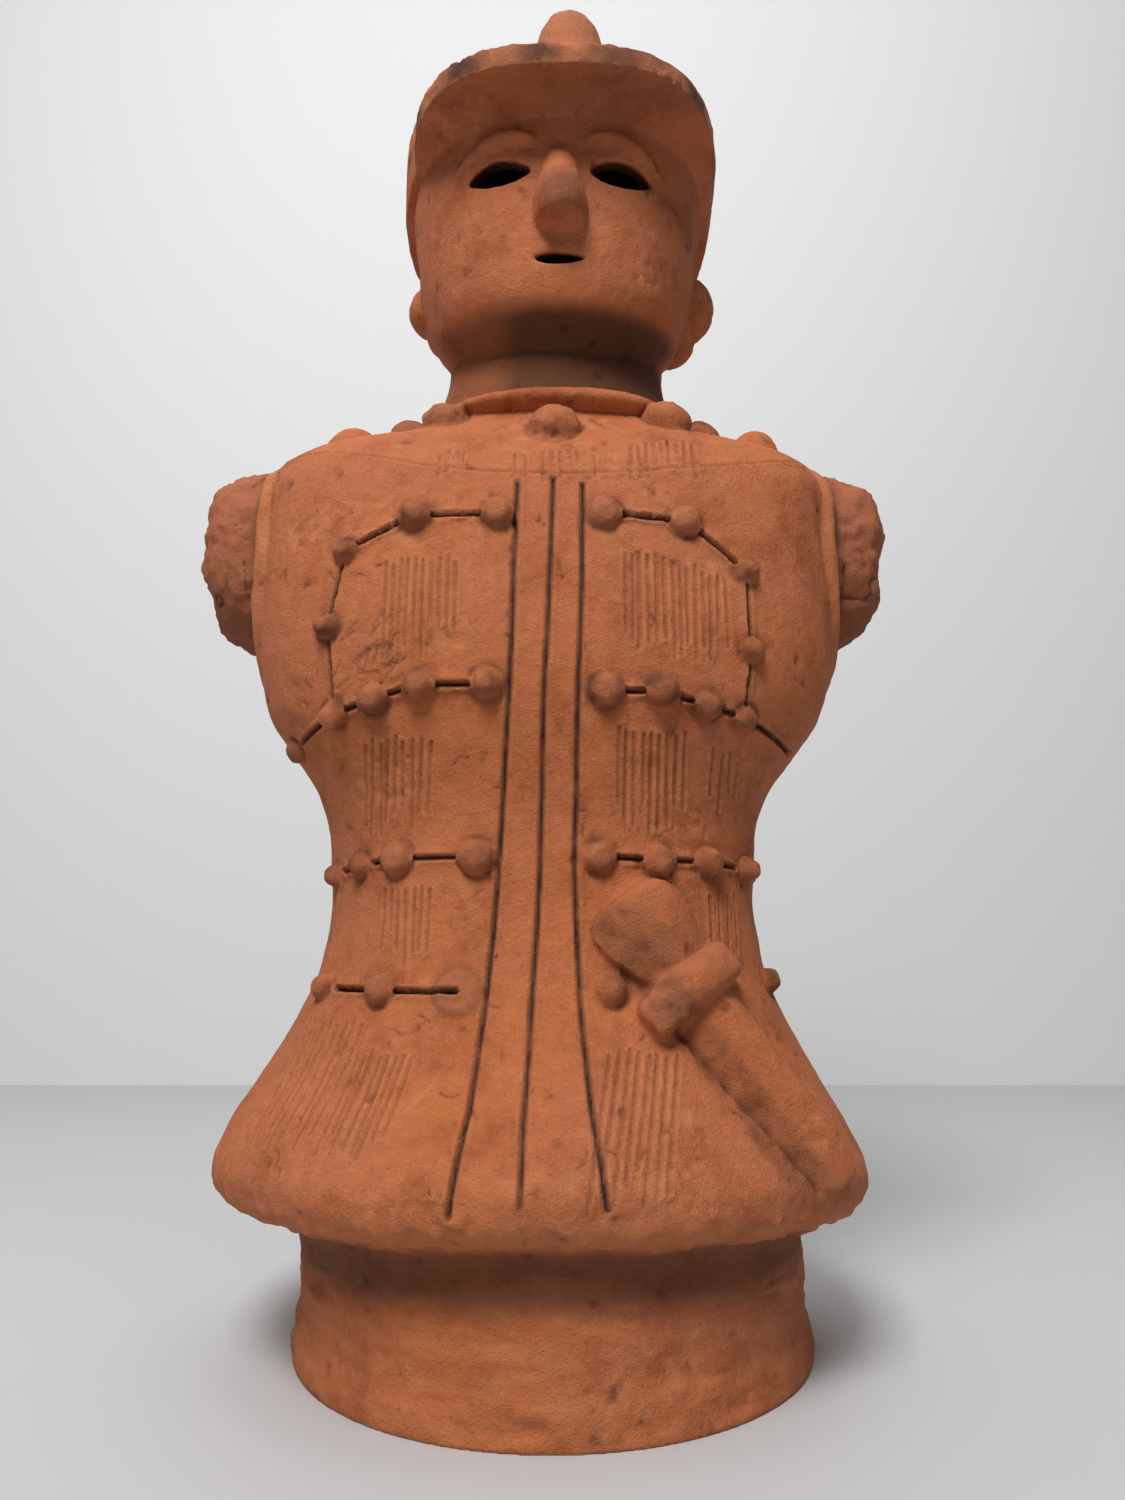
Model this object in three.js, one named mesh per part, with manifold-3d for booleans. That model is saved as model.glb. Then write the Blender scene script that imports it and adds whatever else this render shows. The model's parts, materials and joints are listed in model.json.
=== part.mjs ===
// A hollow fired-clay figure of a warrior, in millimetres, +Z up, facing -Y.
// The figure is one piece: a thin wall raised from an open foot ring through skirt, jacket and neck to
// the helmet. The studs, necklace, sword, side hair knots, visor, knob and broken arms were pressed on
// while the clay was wet and fired with it, so they are joined to the wall here as well.
import * as THREE from "three";
import { mergeVertices } from "three/addons/utils/BufferGeometryUtils.js";
import Module from "manifold-3d";

// ---- driving dimensions ----

const WALL = 14; // thickness of the clay
const FOOT_RADIUS = 120.5; // the ring that the figure stands on

// The outer form, as sections up the height. wide and deep are half sizes, square is 2 for an ellipse
// and more for a boxier section, and x and y are the section's centre: the wall leans a little.
const BODY = [
  { z: 0, wide: FOOT_RADIUS, deep: FOOT_RADIUS, square: 2, x: 0, y: 0 }, // foot
  { z: 25, wide: 118, deep: 118, square: 2, x: 0, y: 0 },
  { z: 51, wide: 119, deep: 119, square: 2, x: -1, y: 0 },
  { z: 65, wide: 144, deep: 132, square: 2.1, x: -4, y: 0 }, // under the hem
  { z: 80, wide: 154, deep: 139, square: 2.1, x: -6.5, y: 0 }, // hem
  { z: 98, wide: 147, deep: 132, square: 2.1, x: -6.5, y: 0 },
  { z: 150, wide: 119, deep: 106, square: 2.15, x: -6, y: 0 }, // skirt
  { z: 205, wide: 105, deep: 89, square: 2.25, x: -6, y: 0 }, // waist
  { z: 240, wide: 107, deep: 88, square: 2.35, x: -6, y: 0 },
  { z: 276, wide: 125, deep: 96, square: 2.6, x: -5, y: 0 }, // lower edge of the breast
  { z: 308, wide: 143, deep: 101, square: 2.9, x: -4, y: 0 }, // breast
  { z: 380, wide: 145, deep: 96, square: 2.9, x: -4, y: 0 },
  { z: 402, wide: 145, deep: 90, square: 2.9, x: -4, y: 0 }, // top of the jacket's front
  { z: 422, wide: 144, deep: 79, square: 2.7, x: -4, y: 0 },
  { z: 430, wide: 138, deep: 72, square: 2.5, x: -3.5, y: 0 }, // shoulder
  { z: 434.5, wide: 121, deep: 67.5, square: 2.3, x: -3, y: 0 },
  { z: 439, wide: 98, deep: 64, square: 2.15, x: -2.5, y: 0 },
  { z: 446, wide: 82, deep: 61.5, square: 2.05, x: -2, y: 0 },
  { z: 456, wide: 69, deep: 60, square: 2, x: -1, y: 0 }, // foot of the neck
  { z: 470, wide: 61.5, deep: 58.5, square: 2, x: -0.5, y: 0 },
  { z: 490, wide: 58, deep: 57, square: 2, x: 0, y: 0 }, // neck
  { z: 530, wide: 58, deep: 57, square: 2, x: 2, y: -4 },
];
const HEAD = [
  { z: 483, wide: 50, deep: 50, square: 2, x: 0, y: -8 }, // underside of the jaw
  { z: 497, wide: 60, deep: 63, square: 2.05, x: 0, y: -9 },
  { z: 514, wide: 67, deep: 71, square: 2.1, x: 0, y: -10 }, // jaw
  { z: 532, wide: 74, deep: 76, square: 2.1, x: 0.5, y: -10 },
  { z: 557, wide: 78, deep: 78, square: 2.15, x: 1, y: -10 }, // cheeks
  { z: 585, wide: 82, deep: 79, square: 2.1, x: 2.5, y: -10 },
  { z: 610, wide: 82, deep: 78, square: 2, x: 3, y: -10 },
  { z: 628, wide: 77, deep: 73, square: 2, x: 3, y: -8 },
  { z: 643, wide: 67, deep: 62, square: 2, x: 4, y: -5 },
  { z: 655, wide: 51, deep: 46, square: 2, x: 4, y: -4 },
  { z: 664, wide: 28, deep: 25, square: 2, x: 5, y: -5 }, // crown
];
const JAW_SLOPE = 0.19; // the jaw is this much lower for each millimetre towards the front
const JAW_SLOPE_ENDS = 560; // above this height the head isn't sheared

// rim is the height of the helmet's rim at the middle of the head. It falls by napeDrop for each
// millimetre towards the back, and above level the helmet isn't sheared.
const HELMET = { overhang: 4.5, rim: 570, napeDrop: 0.3, level: 640, top: 668 };
const VISOR = { halfWidth: 80, reach: 86, square: 2.7, thickness: 12.5, z: 591, y: -35, x: 3 };
const KNOB = { radius: 21, height: 58, z: 661, x: 8, y: -10 };
const HAIR_KNOTS = [
  { x: -67, y: 4, z: 533, wide: 16, deep: 17, tall: 16 },
  { x: 72, y: 4, z: 531, wide: 17, deep: 18, tall: 19 },
];

// The face follows the usual canon: brow, nose and chin split it in three equal parts, and each eye
// and the gap between the eyes are a fifth of its width.
const FACE = { chin: 482, brow: 572, halfWidth: 75, x: 3, y: -10 };
const FACE_THIRD = (FACE.brow - FACE.chin) / 2;
const EYE = { length: 32, height: 12.5, tilt: 0.14, z: FACE.brow - 0.4 * FACE_THIRD };
const NOSE = { base: FACE.chin + FACE_THIRD - 3, height: 46, reach: 21, wide: 14.5, bridge: 8 };
const MOUTH = { width: 27, height: 5, z: FACE.chin + 0.62 * FACE_THIRD };
const BROW = { reach: 52, thick: 3.4, arch: 7 };

const ARM = { y: 6, z: 386, radiusY: 44, radiusZ: 50, root: 118 }; // root is inside the wall
const ARM_STUMPS = [
  { side: -1, end: 184 },
  { side: 1, end: 179 },
];
const ARMHOLE_RIM = { z: 374, radiusY: 52, radiusZ: 64, thick: 6 }; // the jacket's edge round the arm

const STUD = { radius: 8, height: 7 };
// Studs on the front, as a sideways place and a height. They were set by hand, so no two rows agree.
const FRONT_STUDS = {
  breast: [[-25, 376], [-63, 376], [23, 376], [60, 373]],
  rightArmhole: [[-95, 361], [-102, 325], [-98, 286]],
  leftArmhole: [[88, 351], [89, 314], [86, 284]],
  breastEdge: [[-29, 296], [-59, 296], [-79, 291], [-122, 276], [23, 293], [48, 293], [68, 288]],
  waistRight: [[-33, 222], [-69, 222], [-88, 220], [-104, 217]],
  waistLeft: [[20, 222], [46, 221], [69, 221], [89, 219]],
  skirt: [[-74, 165], [-104, 165], [24, 166], [100, 167]],
};
// The same rows carried on round the back, counted out from the middle of it. pitch is in degrees.
const BACK_STUDS = [
  { z: 374, pitch: 17, perSide: 2, middle: false },
  { z: 290, pitch: 20, perSide: 2, middle: true },
  { z: 220, pitch: 26, perSide: 3, middle: true },
  { z: 165, pitch: 26, perSide: 3, middle: true },
];
const SHOULDER_KNOTS = { right: -110, left: 110, y: -18, z: 434, radius: 15, height: 14 };

const COLLAR_BAND = { radius: 60.5, out: 9.5, thick: 4.6, square: 2.5, z: 449.3, rise: 6 };
const BEADS = { radiusX: 79, radiusY: 74, wide: 12.5, tall: 9, thick: 10 };
const BEAD_TURNS = [0, 45, 77, 113, 150, 210, 247, 283, 315]; // degrees from the front

// The sword lies on the skirt, from the pommel down to the tip. Lengths run along it.
const SWORD = { x: 25, z: 207, endX: 120, endZ: 86 };
const POMMEL = { from: 6, to: 45, half: 17.5, high: 15 };
const GUARD = { from: 44, to: 60, half: 25, high: 19 };
const SCABBARD = { from: 58, to: 152, half: 13.5, high: 15 };
const SUNK = 6; // how far the sword goes into the wall

// ---- solids ----

const wasm = await Module();
wasm.setup();

function solidOf(geometry) {
  const bare = geometry.index ? geometry.toNonIndexed() : geometry.clone();
  bare.deleteAttribute("normal");
  bare.deleteAttribute("uv");
  const merged = mergeVertices(bare, 1e-3);
  const make = (triVerts) =>
    new wasm.Manifold(
      new wasm.Mesh({
        numProp: 3,
        vertProperties: merged.attributes.position.array,
        triVerts,
      }),
    );
  const faces = new Uint32Array(merged.index.array);
  const made = make(faces);
  if (made.volume() > 0) return made;
  for (let i = 0; i < faces.length; i += 3)
    [faces[i + 1], faces[i + 2]] = [faces[i + 2], faces[i + 1]];
  return make(faces);
}

function geometryOf(solid) {
  const mesh = solid.getMesh();
  const made = new THREE.BufferGeometry();
  made.setAttribute("position", new THREE.BufferAttribute(mesh.vertProperties, 3));
  made.setIndex(new THREE.BufferAttribute(mesh.triVerts, 1));
  return made.toNonIndexed();
}

// Moves every vertex of a geometry by a rule that takes and returns a vector.
function warp(geometry, rule) {
  const place = geometry.attributes.position;
  for (let i = 0; i < place.count; i++) {
    const p = rule(new THREE.Vector3().fromBufferAttribute(place, i));
    place.setXYZ(i, p.x, p.y, p.z);
  }
  return geometry;
}

// ---- smooth forms from sections ----

// A smooth curve through one value of the sections, which never overshoots them.
function smoothRun(sections, key) {
  const rise = (i) =>
    (sections[i + 1][key] - sections[i][key]) / (sections[i + 1].z - sections[i].z);
  const last = sections.length - 1;
  const slope = sections.map((_, i) => {
    if (i === 0) return rise(0);
    if (i === last) return rise(last - 1);
    const [below, above] = [rise(i - 1), rise(i)];
    return below * above <= 0 ? 0 : (2 * below * above) / (below + above);
  });
  return (z) => {
    const above = sections.findIndex((s) => s.z > z);
    const i = above < 0 ? last - 1 : Math.max(0, above - 1);
    const span = sections[i + 1].z - sections[i].z;
    const t = THREE.MathUtils.clamp((z - sections[i].z) / span, 0, 1);
    const ease = t * t * (3 - 2 * t);
    return (
      sections[i][key] * (1 - ease) +
      sections[i + 1][key] * ease +
      span * (slope[i] * t * (1 - t) ** 2 - slope[i + 1] * t * t * (1 - t))
    );
  };
}

function formOf(sections) {
  const keys = ["wide", "deep", "square", "x", "y"];
  const runs = keys.map((key) => smoothRun(sections, key));
  return (z) => Object.fromEntries(keys.map((key, i) => [key, runs[i](z)]));
}

const bulge = (t, square) => Math.sign(t) * Math.abs(t) ** (2 / square);

// The point of a form at height z. turn is the angle from the front, positive to the figure's left.
function onForm(form, z, turn, inset = 0) {
  const s = form(z);
  return new THREE.Vector3(
    s.x + (s.wide - inset) * bulge(Math.sin(turn), s.square),
    s.y - (s.deep - inset) * bulge(Math.cos(turn), s.square),
    z,
  );
}

// Heights that follow a form's outline, closer together where its width changes fast.
function ringHeights(form, from, to, count) {
  const samples = 400;
  const slantWeight = 2.5;
  const heights = Array.from({ length: samples + 1 }, (_, i) => from + ((to - from) * i) / samples);
  const run = [0];
  for (let i = 1; i <= samples; i++) {
    const step = heights[i] - heights[i - 1];
    const widening = form(heights[i]).wide - form(heights[i - 1]).wide;
    run.push(run[i - 1] + Math.hypot(step, widening) + slantWeight * widening ** 2);
  }
  return Array.from({ length: count }, (_, k) => {
    const wanted = (run[samples] * k) / (count - 1);
    return heights[Math.min(samples, run.findIndex((r) => r >= wanted - 1e-9))];
  });
}

// A closed solid of a form between two heights, inset by a wall's thickness where one is given.
function closedForm(form, { from, to, rings, sides, inset = 0, move = (p) => p }) {
  const heights = ringHeights(form, from, to, rings);
  const outline = [
    new THREE.Vector2(0, from),
    ...heights.map((z) => new THREE.Vector2(1, z)),
    new THREE.Vector2(0, to),
  ];
  return solidOf(
    warp(new THREE.LatheGeometry(outline, sides), (p) => {
      const turn = Math.atan2(p.x, -p.z);
      const share = Math.hypot(p.x, p.z);
      const edge = onForm(form, p.y, turn, inset);
      const s = form(p.y);
      return move(
        new THREE.Vector3(s.x + (edge.x - s.x) * share, s.y + (edge.y - s.y) * share, p.y),
      );
    }),
  );
}

// The front of the form at a sideways place x and height z, and the way it faces there.
function onFront(form, x, z) {
  const s = form(z);
  const across = THREE.MathUtils.clamp(Math.abs(x - s.x) / s.wide, 0, 0.995);
  return new THREE.Vector3(x, s.y - s.deep * (1 - across ** s.square) ** (1 / s.square), z);
}

// How far out the side of the form is at a front-to-back place y and height z.
function onSide(form, y, z, side) {
  const s = form(z);
  const along = Math.min(0.97, Math.abs(y - s.y) / s.deep);
  return s.x + side * s.wide * (1 - along ** s.square) ** (1 / s.square);
}

// The way a surface faces at a place, from two directions along it.
function facing(pointAt, u, v, step = 1) {
  const along = pointAt(u + step, v).sub(pointAt(u - step, v));
  const up = pointAt(u, v + step).sub(pointAt(u, v - step));
  return along.cross(up).normalize();
}

// The top of the form over a place in plan, found by halving the height where it must lie.
function onTop(form, x, y, low = 400, high = 500) {
  const outside = (z) => {
    const s = form(z);
    return Math.abs((x - s.x) / s.wide) ** s.square + Math.abs((y - s.y) / s.deep) ** s.square > 1;
  };
  for (let i = 0; i < 20; i++) {
    const middle = (low + high) / 2;
    if (outside(middle)) high = middle;
    else low = middle;
  }
  return new THREE.Vector3(x, y, low);
}

// ---- the parts that are pressed on ----

// A low dome on the wall, like a flattened ball of clay.
function dome(point, normal, radius, height, sides = 6) {
  const ball = new THREE.SphereGeometry(1, sides, 3);
  ball.rotateX(Math.PI / 2);
  ball.scale(radius, radius, height);
  const face = new THREE.Quaternion().setFromUnitVectors(new THREE.Vector3(0, 0, 1), normal);
  ball.applyQuaternion(face).translate(point.x, point.y, point.z);
  return solidOf(ball);
}

function studs(form) {
  const onTheFront = (x, z) => onFront(form, x, z);
  const front = Object.values(FRONT_STUDS)
    .flat()
    .map(([x, z]) =>
      dome(onTheFront(x, z), facing(onTheFront, x, z), STUD.radius, STUD.height),
    );
  const roundIt = (degrees, z) => onForm(form, z, THREE.MathUtils.degToRad(degrees));
  const back = BACK_STUDS.flatMap(({ z, pitch, perSide, middle }) => {
    const turns = middle ? [180] : [];
    for (let k = 1; k <= perSide; k++)
      turns.push(180 + (k - (middle ? 0 : 0.5)) * pitch, 180 - (k - (middle ? 0 : 0.5)) * pitch);
    return turns.map((turn) =>
      dome(roundIt(turn, z), facing(roundIt, turn, z), STUD.radius, STUD.height),
    );
  });
  return [...front, ...back];
}

function shoulderKnots() {
  const { right, left, y, z, radius, height } = SHOULDER_KNOTS;
  const up = new THREE.Vector3(0, 0, 1);
  return [right, left].map((x) => dome(new THREE.Vector3(x, y, z), up, radius, height, 9));
}

// The rolled collar and the beads lie on the shoulders, round the foot of the neck.
function necklace(form) {
  const { radius, out, thick, square, z, rise } = COLLAR_BAND;
  const across = 0.1;
  const band = warp(new THREE.TorusGeometry(1, across, 4, 17).rotateZ(0.1), (p) => {
    const turn = Math.atan2(p.x, -p.y);
    const off = ((Math.hypot(p.x, p.y) - 1) / across) * out;
    return new THREE.Vector3(
      radius * bulge(Math.sin(turn), square) + off * Math.sin(turn),
      -radius * bulge(Math.cos(turn), square) - off * Math.cos(turn),
      z + rise * THREE.MathUtils.smoothstep(-Math.cos(turn), -1, 0) + (p.z / across) * thick,
    );
  });
  const beads = BEAD_TURNS.map((degrees) => {
    const turn = THREE.MathUtils.degToRad(degrees);
    const { radiusX, radiusY, wide, tall } = BEADS;
    const rest = onTop(form, radiusX * Math.sin(turn), -radiusY * Math.cos(turn));
    const ball = new THREE.SphereGeometry(1, 7, 4).scale(wide, BEADS.thick, tall);
    return solidOf(ball.rotateZ(turn).translate(rest.x, rest.y, rest.z));
  });
  return [solidOf(band), ...beads];
}

// Lays a block on the skirt. Its x runs along the sword, its y across it and its z out of the wall.
function laid(form, block) {
  const way = new THREE.Vector2(SWORD.endX - SWORD.x, SWORD.endZ - SWORD.z).normalize();
  const at = (x, z) => onFront(form, x, z);
  return solidOf(
    warp(block, (p) => {
      const x = SWORD.x + way.x * p.x - way.y * p.y;
      const z = SWORD.z + way.y * p.x + way.x * p.y;
      return at(x, z).addScaledVector(facing(at, x, z), p.z);
    }),
  );
}

function swordBlock({ from, to, half, high }, shape) {
  const block = new THREE.BoxGeometry(to - from, 2 * half, high + SUNK, 5, 4, 1);
  block.translate((from + to) / 2, 0, (high - SUNK) / 2);
  return warp(block, (p) => shape(p, p.z > 0 ? 1 : 0));
}

function sword(form) {
  const crowned = (fall) => (p, top) => {
    p.z -= top * fall * (p.y / 20) ** 2;
    return p;
  };
  const tapered = (p, top) => {
    const share = (p.x - SCABBARD.from) / (SCABBARD.to - SCABBARD.from);
    p.y *= 1 - 0.3 * share;
    p.z -= top * (0.75 * Math.abs(p.y) + 4 * share ** 3);
    return p;
  };
  return [
    laid(form, swordBlock(POMMEL, crowned(5))),
    laid(form, swordBlock(GUARD, crowned(4))),
    laid(form, swordBlock(SCABBARD, tapered)),
  ];
}

// A broken arm: a lump that leaves the armhole and ends in a rough, blunt break.
function armStump(form, { side, end }) {
  const { root, radiusY, radiusZ } = ARM;
  const bluntness = 0.45;
  return solidOf(
    warp(new THREE.SphereGeometry(1, 12, 9).rotateZ(Math.PI / 2), (p) => {
      const waves = 0.045 * Math.sin(7 * p.y + 5 * p.z) + 0.03 * Math.cos(9 * p.z - 4 * p.y + side);
      const out = Math.max(Math.sign(p.x) * Math.abs(p.x) ** bluntness, -0.4);
      return new THREE.Vector3(
        form(ARM.z).x + side * (root + (end - root) * out * (1 + waves)),
        ARM.y + radiusY * p.y * (1 + waves),
        ARM.z + radiusZ * p.z * (1 + waves),
      );
    }),
  );
}

// The rolled edge of the jacket round the arm, bent to the side of the body.
function armholeRim(form, side) {
  const { thick, radiusY, radiusZ } = ARMHOLE_RIM;
  const across = 0.1;
  return solidOf(
    warp(new THREE.TorusGeometry(1, across, 4, 18).rotateY(Math.PI / 2), (p) => {
      const share = Math.hypot(p.y, p.z);
      const out = ((share - 1) / across) * thick;
      const y = ARM.y + (p.y / share) * (radiusY + out);
      const z = ARMHOLE_RIM.z + (p.z / share) * (radiusZ + out);
      const flare = 0.45; // how far the edge keeps to the widest line instead of the curve of the wall
      const wall = THREE.MathUtils.lerp(onSide(form, y, z, side), onSide(form, form(z).y, z, side), flare);
      return new THREE.Vector3(wall - side * 3 + (p.x / across) * thick, y, z);
    }),
  );
}

// ---- the head ----

// Lets the jaw down in front and lifts it behind, below the cheeks.
function jawDrop(p) {
  const low = THREE.MathUtils.smoothstep(JAW_SLOPE_ENDS - p.z, 0, 70);
  return p.setZ(p.z + low * JAW_SLOPE * (p.y - HEAD[0].y));
}

function helmet(form) {
  const nape = (p) => {
    const low = THREE.MathUtils.smoothstep(HELMET.level - p.z, 0, HELMET.level - HELMET.rim);
    return p.setZ(p.z - low * HELMET.napeDrop * (p.y - FACE.y));
  };
  const size = { from: HELMET.rim, to: HELMET.top, inset: -HELMET.overhang, move: nape };
  const shell = closedForm(form, { ...size, rings: 6, sides: 28 });
  const { halfWidth, reach, thickness, square } = VISOR;
  const edge = [
    new THREE.Vector2(0, -thickness / 2),
    new THREE.Vector2(0.95, -thickness / 2),
    new THREE.Vector2(1, -thickness / 6),
    new THREE.Vector2(1, thickness / 6),
    new THREE.Vector2(0.96, thickness / 2),
    new THREE.Vector2(0, thickness / 2),
  ];
  const disc = new THREE.LatheGeometry(edge, 28).rotateX(Math.PI / 2);
  const visor = warp(disc, (p) => {
    const turn = Math.atan2(p.x, -p.y);
    const share = Math.hypot(p.x, p.y);
    const x = share * halfWidth * bulge(Math.sin(turn), square);
    return new THREE.Vector3(VISOR.x + x, VISOR.y - share * reach * bulge(Math.cos(turn), square), VISOR.z + p.z);
  });
  const knobOutline = [
    new THREE.Vector2(0, 0),
    new THREE.Vector2(KNOB.radius, 0),
    new THREE.Vector2(KNOB.radius * 0.9, KNOB.height * 0.5),
    new THREE.Vector2(KNOB.radius * 0.74, KNOB.height * 0.82),
    new THREE.Vector2(KNOB.radius * 0.42, KNOB.height * 0.96),
    new THREE.Vector2(0, KNOB.height),
  ];
  const knob = new THREE.LatheGeometry(knobOutline, 12).rotateX(Math.PI / 2);
  knob.translate(KNOB.x, KNOB.y, KNOB.z);
  return [shell, solidOf(visor), solidOf(knob)];
}

function hairKnots() {
  return HAIR_KNOTS.map(({ x, y, z, wide, deep, tall }) =>
    solidOf(new THREE.SphereGeometry(1, 10, 8).scale(wide, deep, tall).translate(x, y, z)),
  );
}

// A ridge over each eye, from near the bridge of the nose out to the temple.
function brows(form) {
  return [-1, 1].map((side) => {
    const points = Array.from({ length: 6 }, (_, i) => {
      const out = 14 + (BROW.reach - 14) * (i / 5);
      const z = FACE.brow + BROW.arch * Math.sin((i / 5) * Math.PI * 0.8) - 1.6 * i;
      return onFront(form, FACE.x + side * out, z).add(new THREE.Vector3(0, -1, 0));
    });
    const round = new THREE.Shape().absarc(0, 0, BROW.thick, 0, 2 * Math.PI);
    return solidOf(
      new THREE.ExtrudeGeometry(round, {
        steps: 6,
        curveSegments: 3,
        bevelEnabled: false,
        extrudePath: new THREE.CatmullRomCurve3(points),
      }),
    );
  });
}

// The nose widens and stands further out towards its base.
function nose(form) {
  const ball = new THREE.SphereGeometry(1, 10, 8).rotateX(Math.PI / 2);
  const middle = NOSE.base + NOSE.height / 2;
  return solidOf(
    warp(ball, (p) => {
      const down = (1 - p.z) / 2;
      const wide = THREE.MathUtils.lerp(NOSE.bridge, NOSE.wide, down);
      const z = middle + (p.z * NOSE.height) / 2;
      const face = onFront(form, FACE.x, z);
      const reach = NOSE.reach * (0.25 + 0.75 * down);
      return new THREE.Vector3(FACE.x + wide * p.x * 1.15, face.y + 2 + reach * p.y, z);
    }),
  );
}

// An almond-shaped cutter that runs front to back through the wall of the face.
function almondCutter(x, z, length, height, tilt, droop) {
  const almond = new THREE.Shape();
  almond.moveTo(-length / 2, 0);
  almond.quadraticCurveTo(0, height * (1.6 - droop), length / 2, 0);
  almond.quadraticCurveTo(0, -height * (0.4 + droop), -length / 2, 0);
  const cutter = new THREE.ExtrudeGeometry(almond, {
    depth: 90,
    curveSegments: 6,
    bevelEnabled: false,
  });
  cutter.rotateZ(tilt).rotateX(Math.PI / 2).translate(x, -40, z);
  return solidOf(cutter);
}

function faceOpenings() {
  const apart = (2 * FACE.halfWidth) / 5;
  const eyes = [-1, 1].map((side) =>
    almondCutter(FACE.x + side * apart, EYE.z, EYE.length, EYE.height, -side * EYE.tilt, 0),
  );
  return [...eyes, almondCutter(FACE.x, MOUTH.z, MOUTH.width, MOUTH.height, 0, 0.6)];
}

// ---- the whole figure ----

function figure() {
  const body = formOf(BODY);
  const head = formOf(HEAD);
  const outside = [
    closedForm(body, { from: 0, to: 530, rings: 26, sides: 34 }),
    closedForm(head, { from: 483, to: 664, rings: 11, sides: 28, move: jawDrop }),
    ...helmet(head),
    ...hairKnots(),
    ...brows(head),
    nose(head),
    ...ARM_STUMPS.map((stump) => armStump(body, stump)),
    ...[-1, 1].map((side) => armholeRim(body, side)),
    ...shoulderKnots(),
    ...necklace(body),
    ...sword(body),
    ...studs(body),
  ];
  const inside = [
    closedForm(body, { from: -5, to: 432, rings: 12, sides: 20, inset: WALL }),
    closedForm(body, { from: 418, to: 529, rings: 5, sides: 18, inset: WALL - 1 }),
    closedForm(head, { from: 502, to: 650, rings: 6, sides: 18, inset: WALL }),
    ...faceOpenings(),
  ];
  const joined = outside.reduce((sum, piece) => sum.add(piece));
  const packed = joined.decompose().find((shell) => shell.volume() > 0); // no gaps under the pieces
  return inside.reduce((shell, hollow) => shell.subtract(hollow), packed);
}

const clay = new THREE.MeshStandardMaterial({ color: 0xb26a45, roughness: 0.92, metalness: 0 });
const haniwa = new THREE.Mesh(geometryOf(figure()), clay);
haniwa.name = "haniwa_figure";

// The origin is on the surface it stands on, under the middle of its bounding box.
const box = new THREE.Box3().setFromObject(haniwa);
const middle = box.getCenter(new THREE.Vector3());
haniwa.position.set(-middle.x, -middle.y, 0);

const root = new THREE.Group();
root.add(haniwa);

export default root;
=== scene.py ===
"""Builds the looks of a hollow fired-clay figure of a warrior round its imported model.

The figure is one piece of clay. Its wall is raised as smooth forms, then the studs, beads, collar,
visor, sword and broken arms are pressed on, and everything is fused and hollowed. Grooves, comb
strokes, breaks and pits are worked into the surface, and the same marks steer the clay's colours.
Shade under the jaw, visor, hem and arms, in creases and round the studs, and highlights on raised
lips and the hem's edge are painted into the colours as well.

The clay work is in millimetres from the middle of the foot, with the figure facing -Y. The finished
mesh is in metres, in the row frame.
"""

import itertools
import json
import math
import random

import bmesh
import bpy
import numpy as np
from mathutils import Matrix, Vector


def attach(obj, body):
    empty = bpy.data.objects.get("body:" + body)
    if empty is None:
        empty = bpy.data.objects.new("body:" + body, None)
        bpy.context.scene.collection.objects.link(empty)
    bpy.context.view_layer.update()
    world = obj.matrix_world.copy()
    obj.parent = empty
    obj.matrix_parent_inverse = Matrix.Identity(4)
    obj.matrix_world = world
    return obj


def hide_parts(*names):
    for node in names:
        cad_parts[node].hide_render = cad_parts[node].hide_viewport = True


bl_info = {
    "name": "Haniwa Figure",
    "version": (1, 0, 0),
    "blender": (4, 5, 0),
    "location": "View3D > Sidebar > Haniwa",
    "description": "Raises, hollows, incises and fires a clay warrior",
    "category": "Object",
}

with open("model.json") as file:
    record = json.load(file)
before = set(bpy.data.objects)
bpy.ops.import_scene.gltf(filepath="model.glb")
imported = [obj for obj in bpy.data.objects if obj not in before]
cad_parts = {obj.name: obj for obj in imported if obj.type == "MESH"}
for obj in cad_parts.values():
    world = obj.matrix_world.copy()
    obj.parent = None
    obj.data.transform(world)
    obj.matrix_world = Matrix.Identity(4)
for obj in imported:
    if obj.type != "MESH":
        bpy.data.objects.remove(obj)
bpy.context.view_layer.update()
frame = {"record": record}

MM = 0.001
NODE = "haniwa_figure"
# The underside's mount lies straight in front of the middle of the foot.
FOOT_X = frame["record"]["mounts"][0]["pos_m"][0]

# ---- the sections of the wall ----

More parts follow.
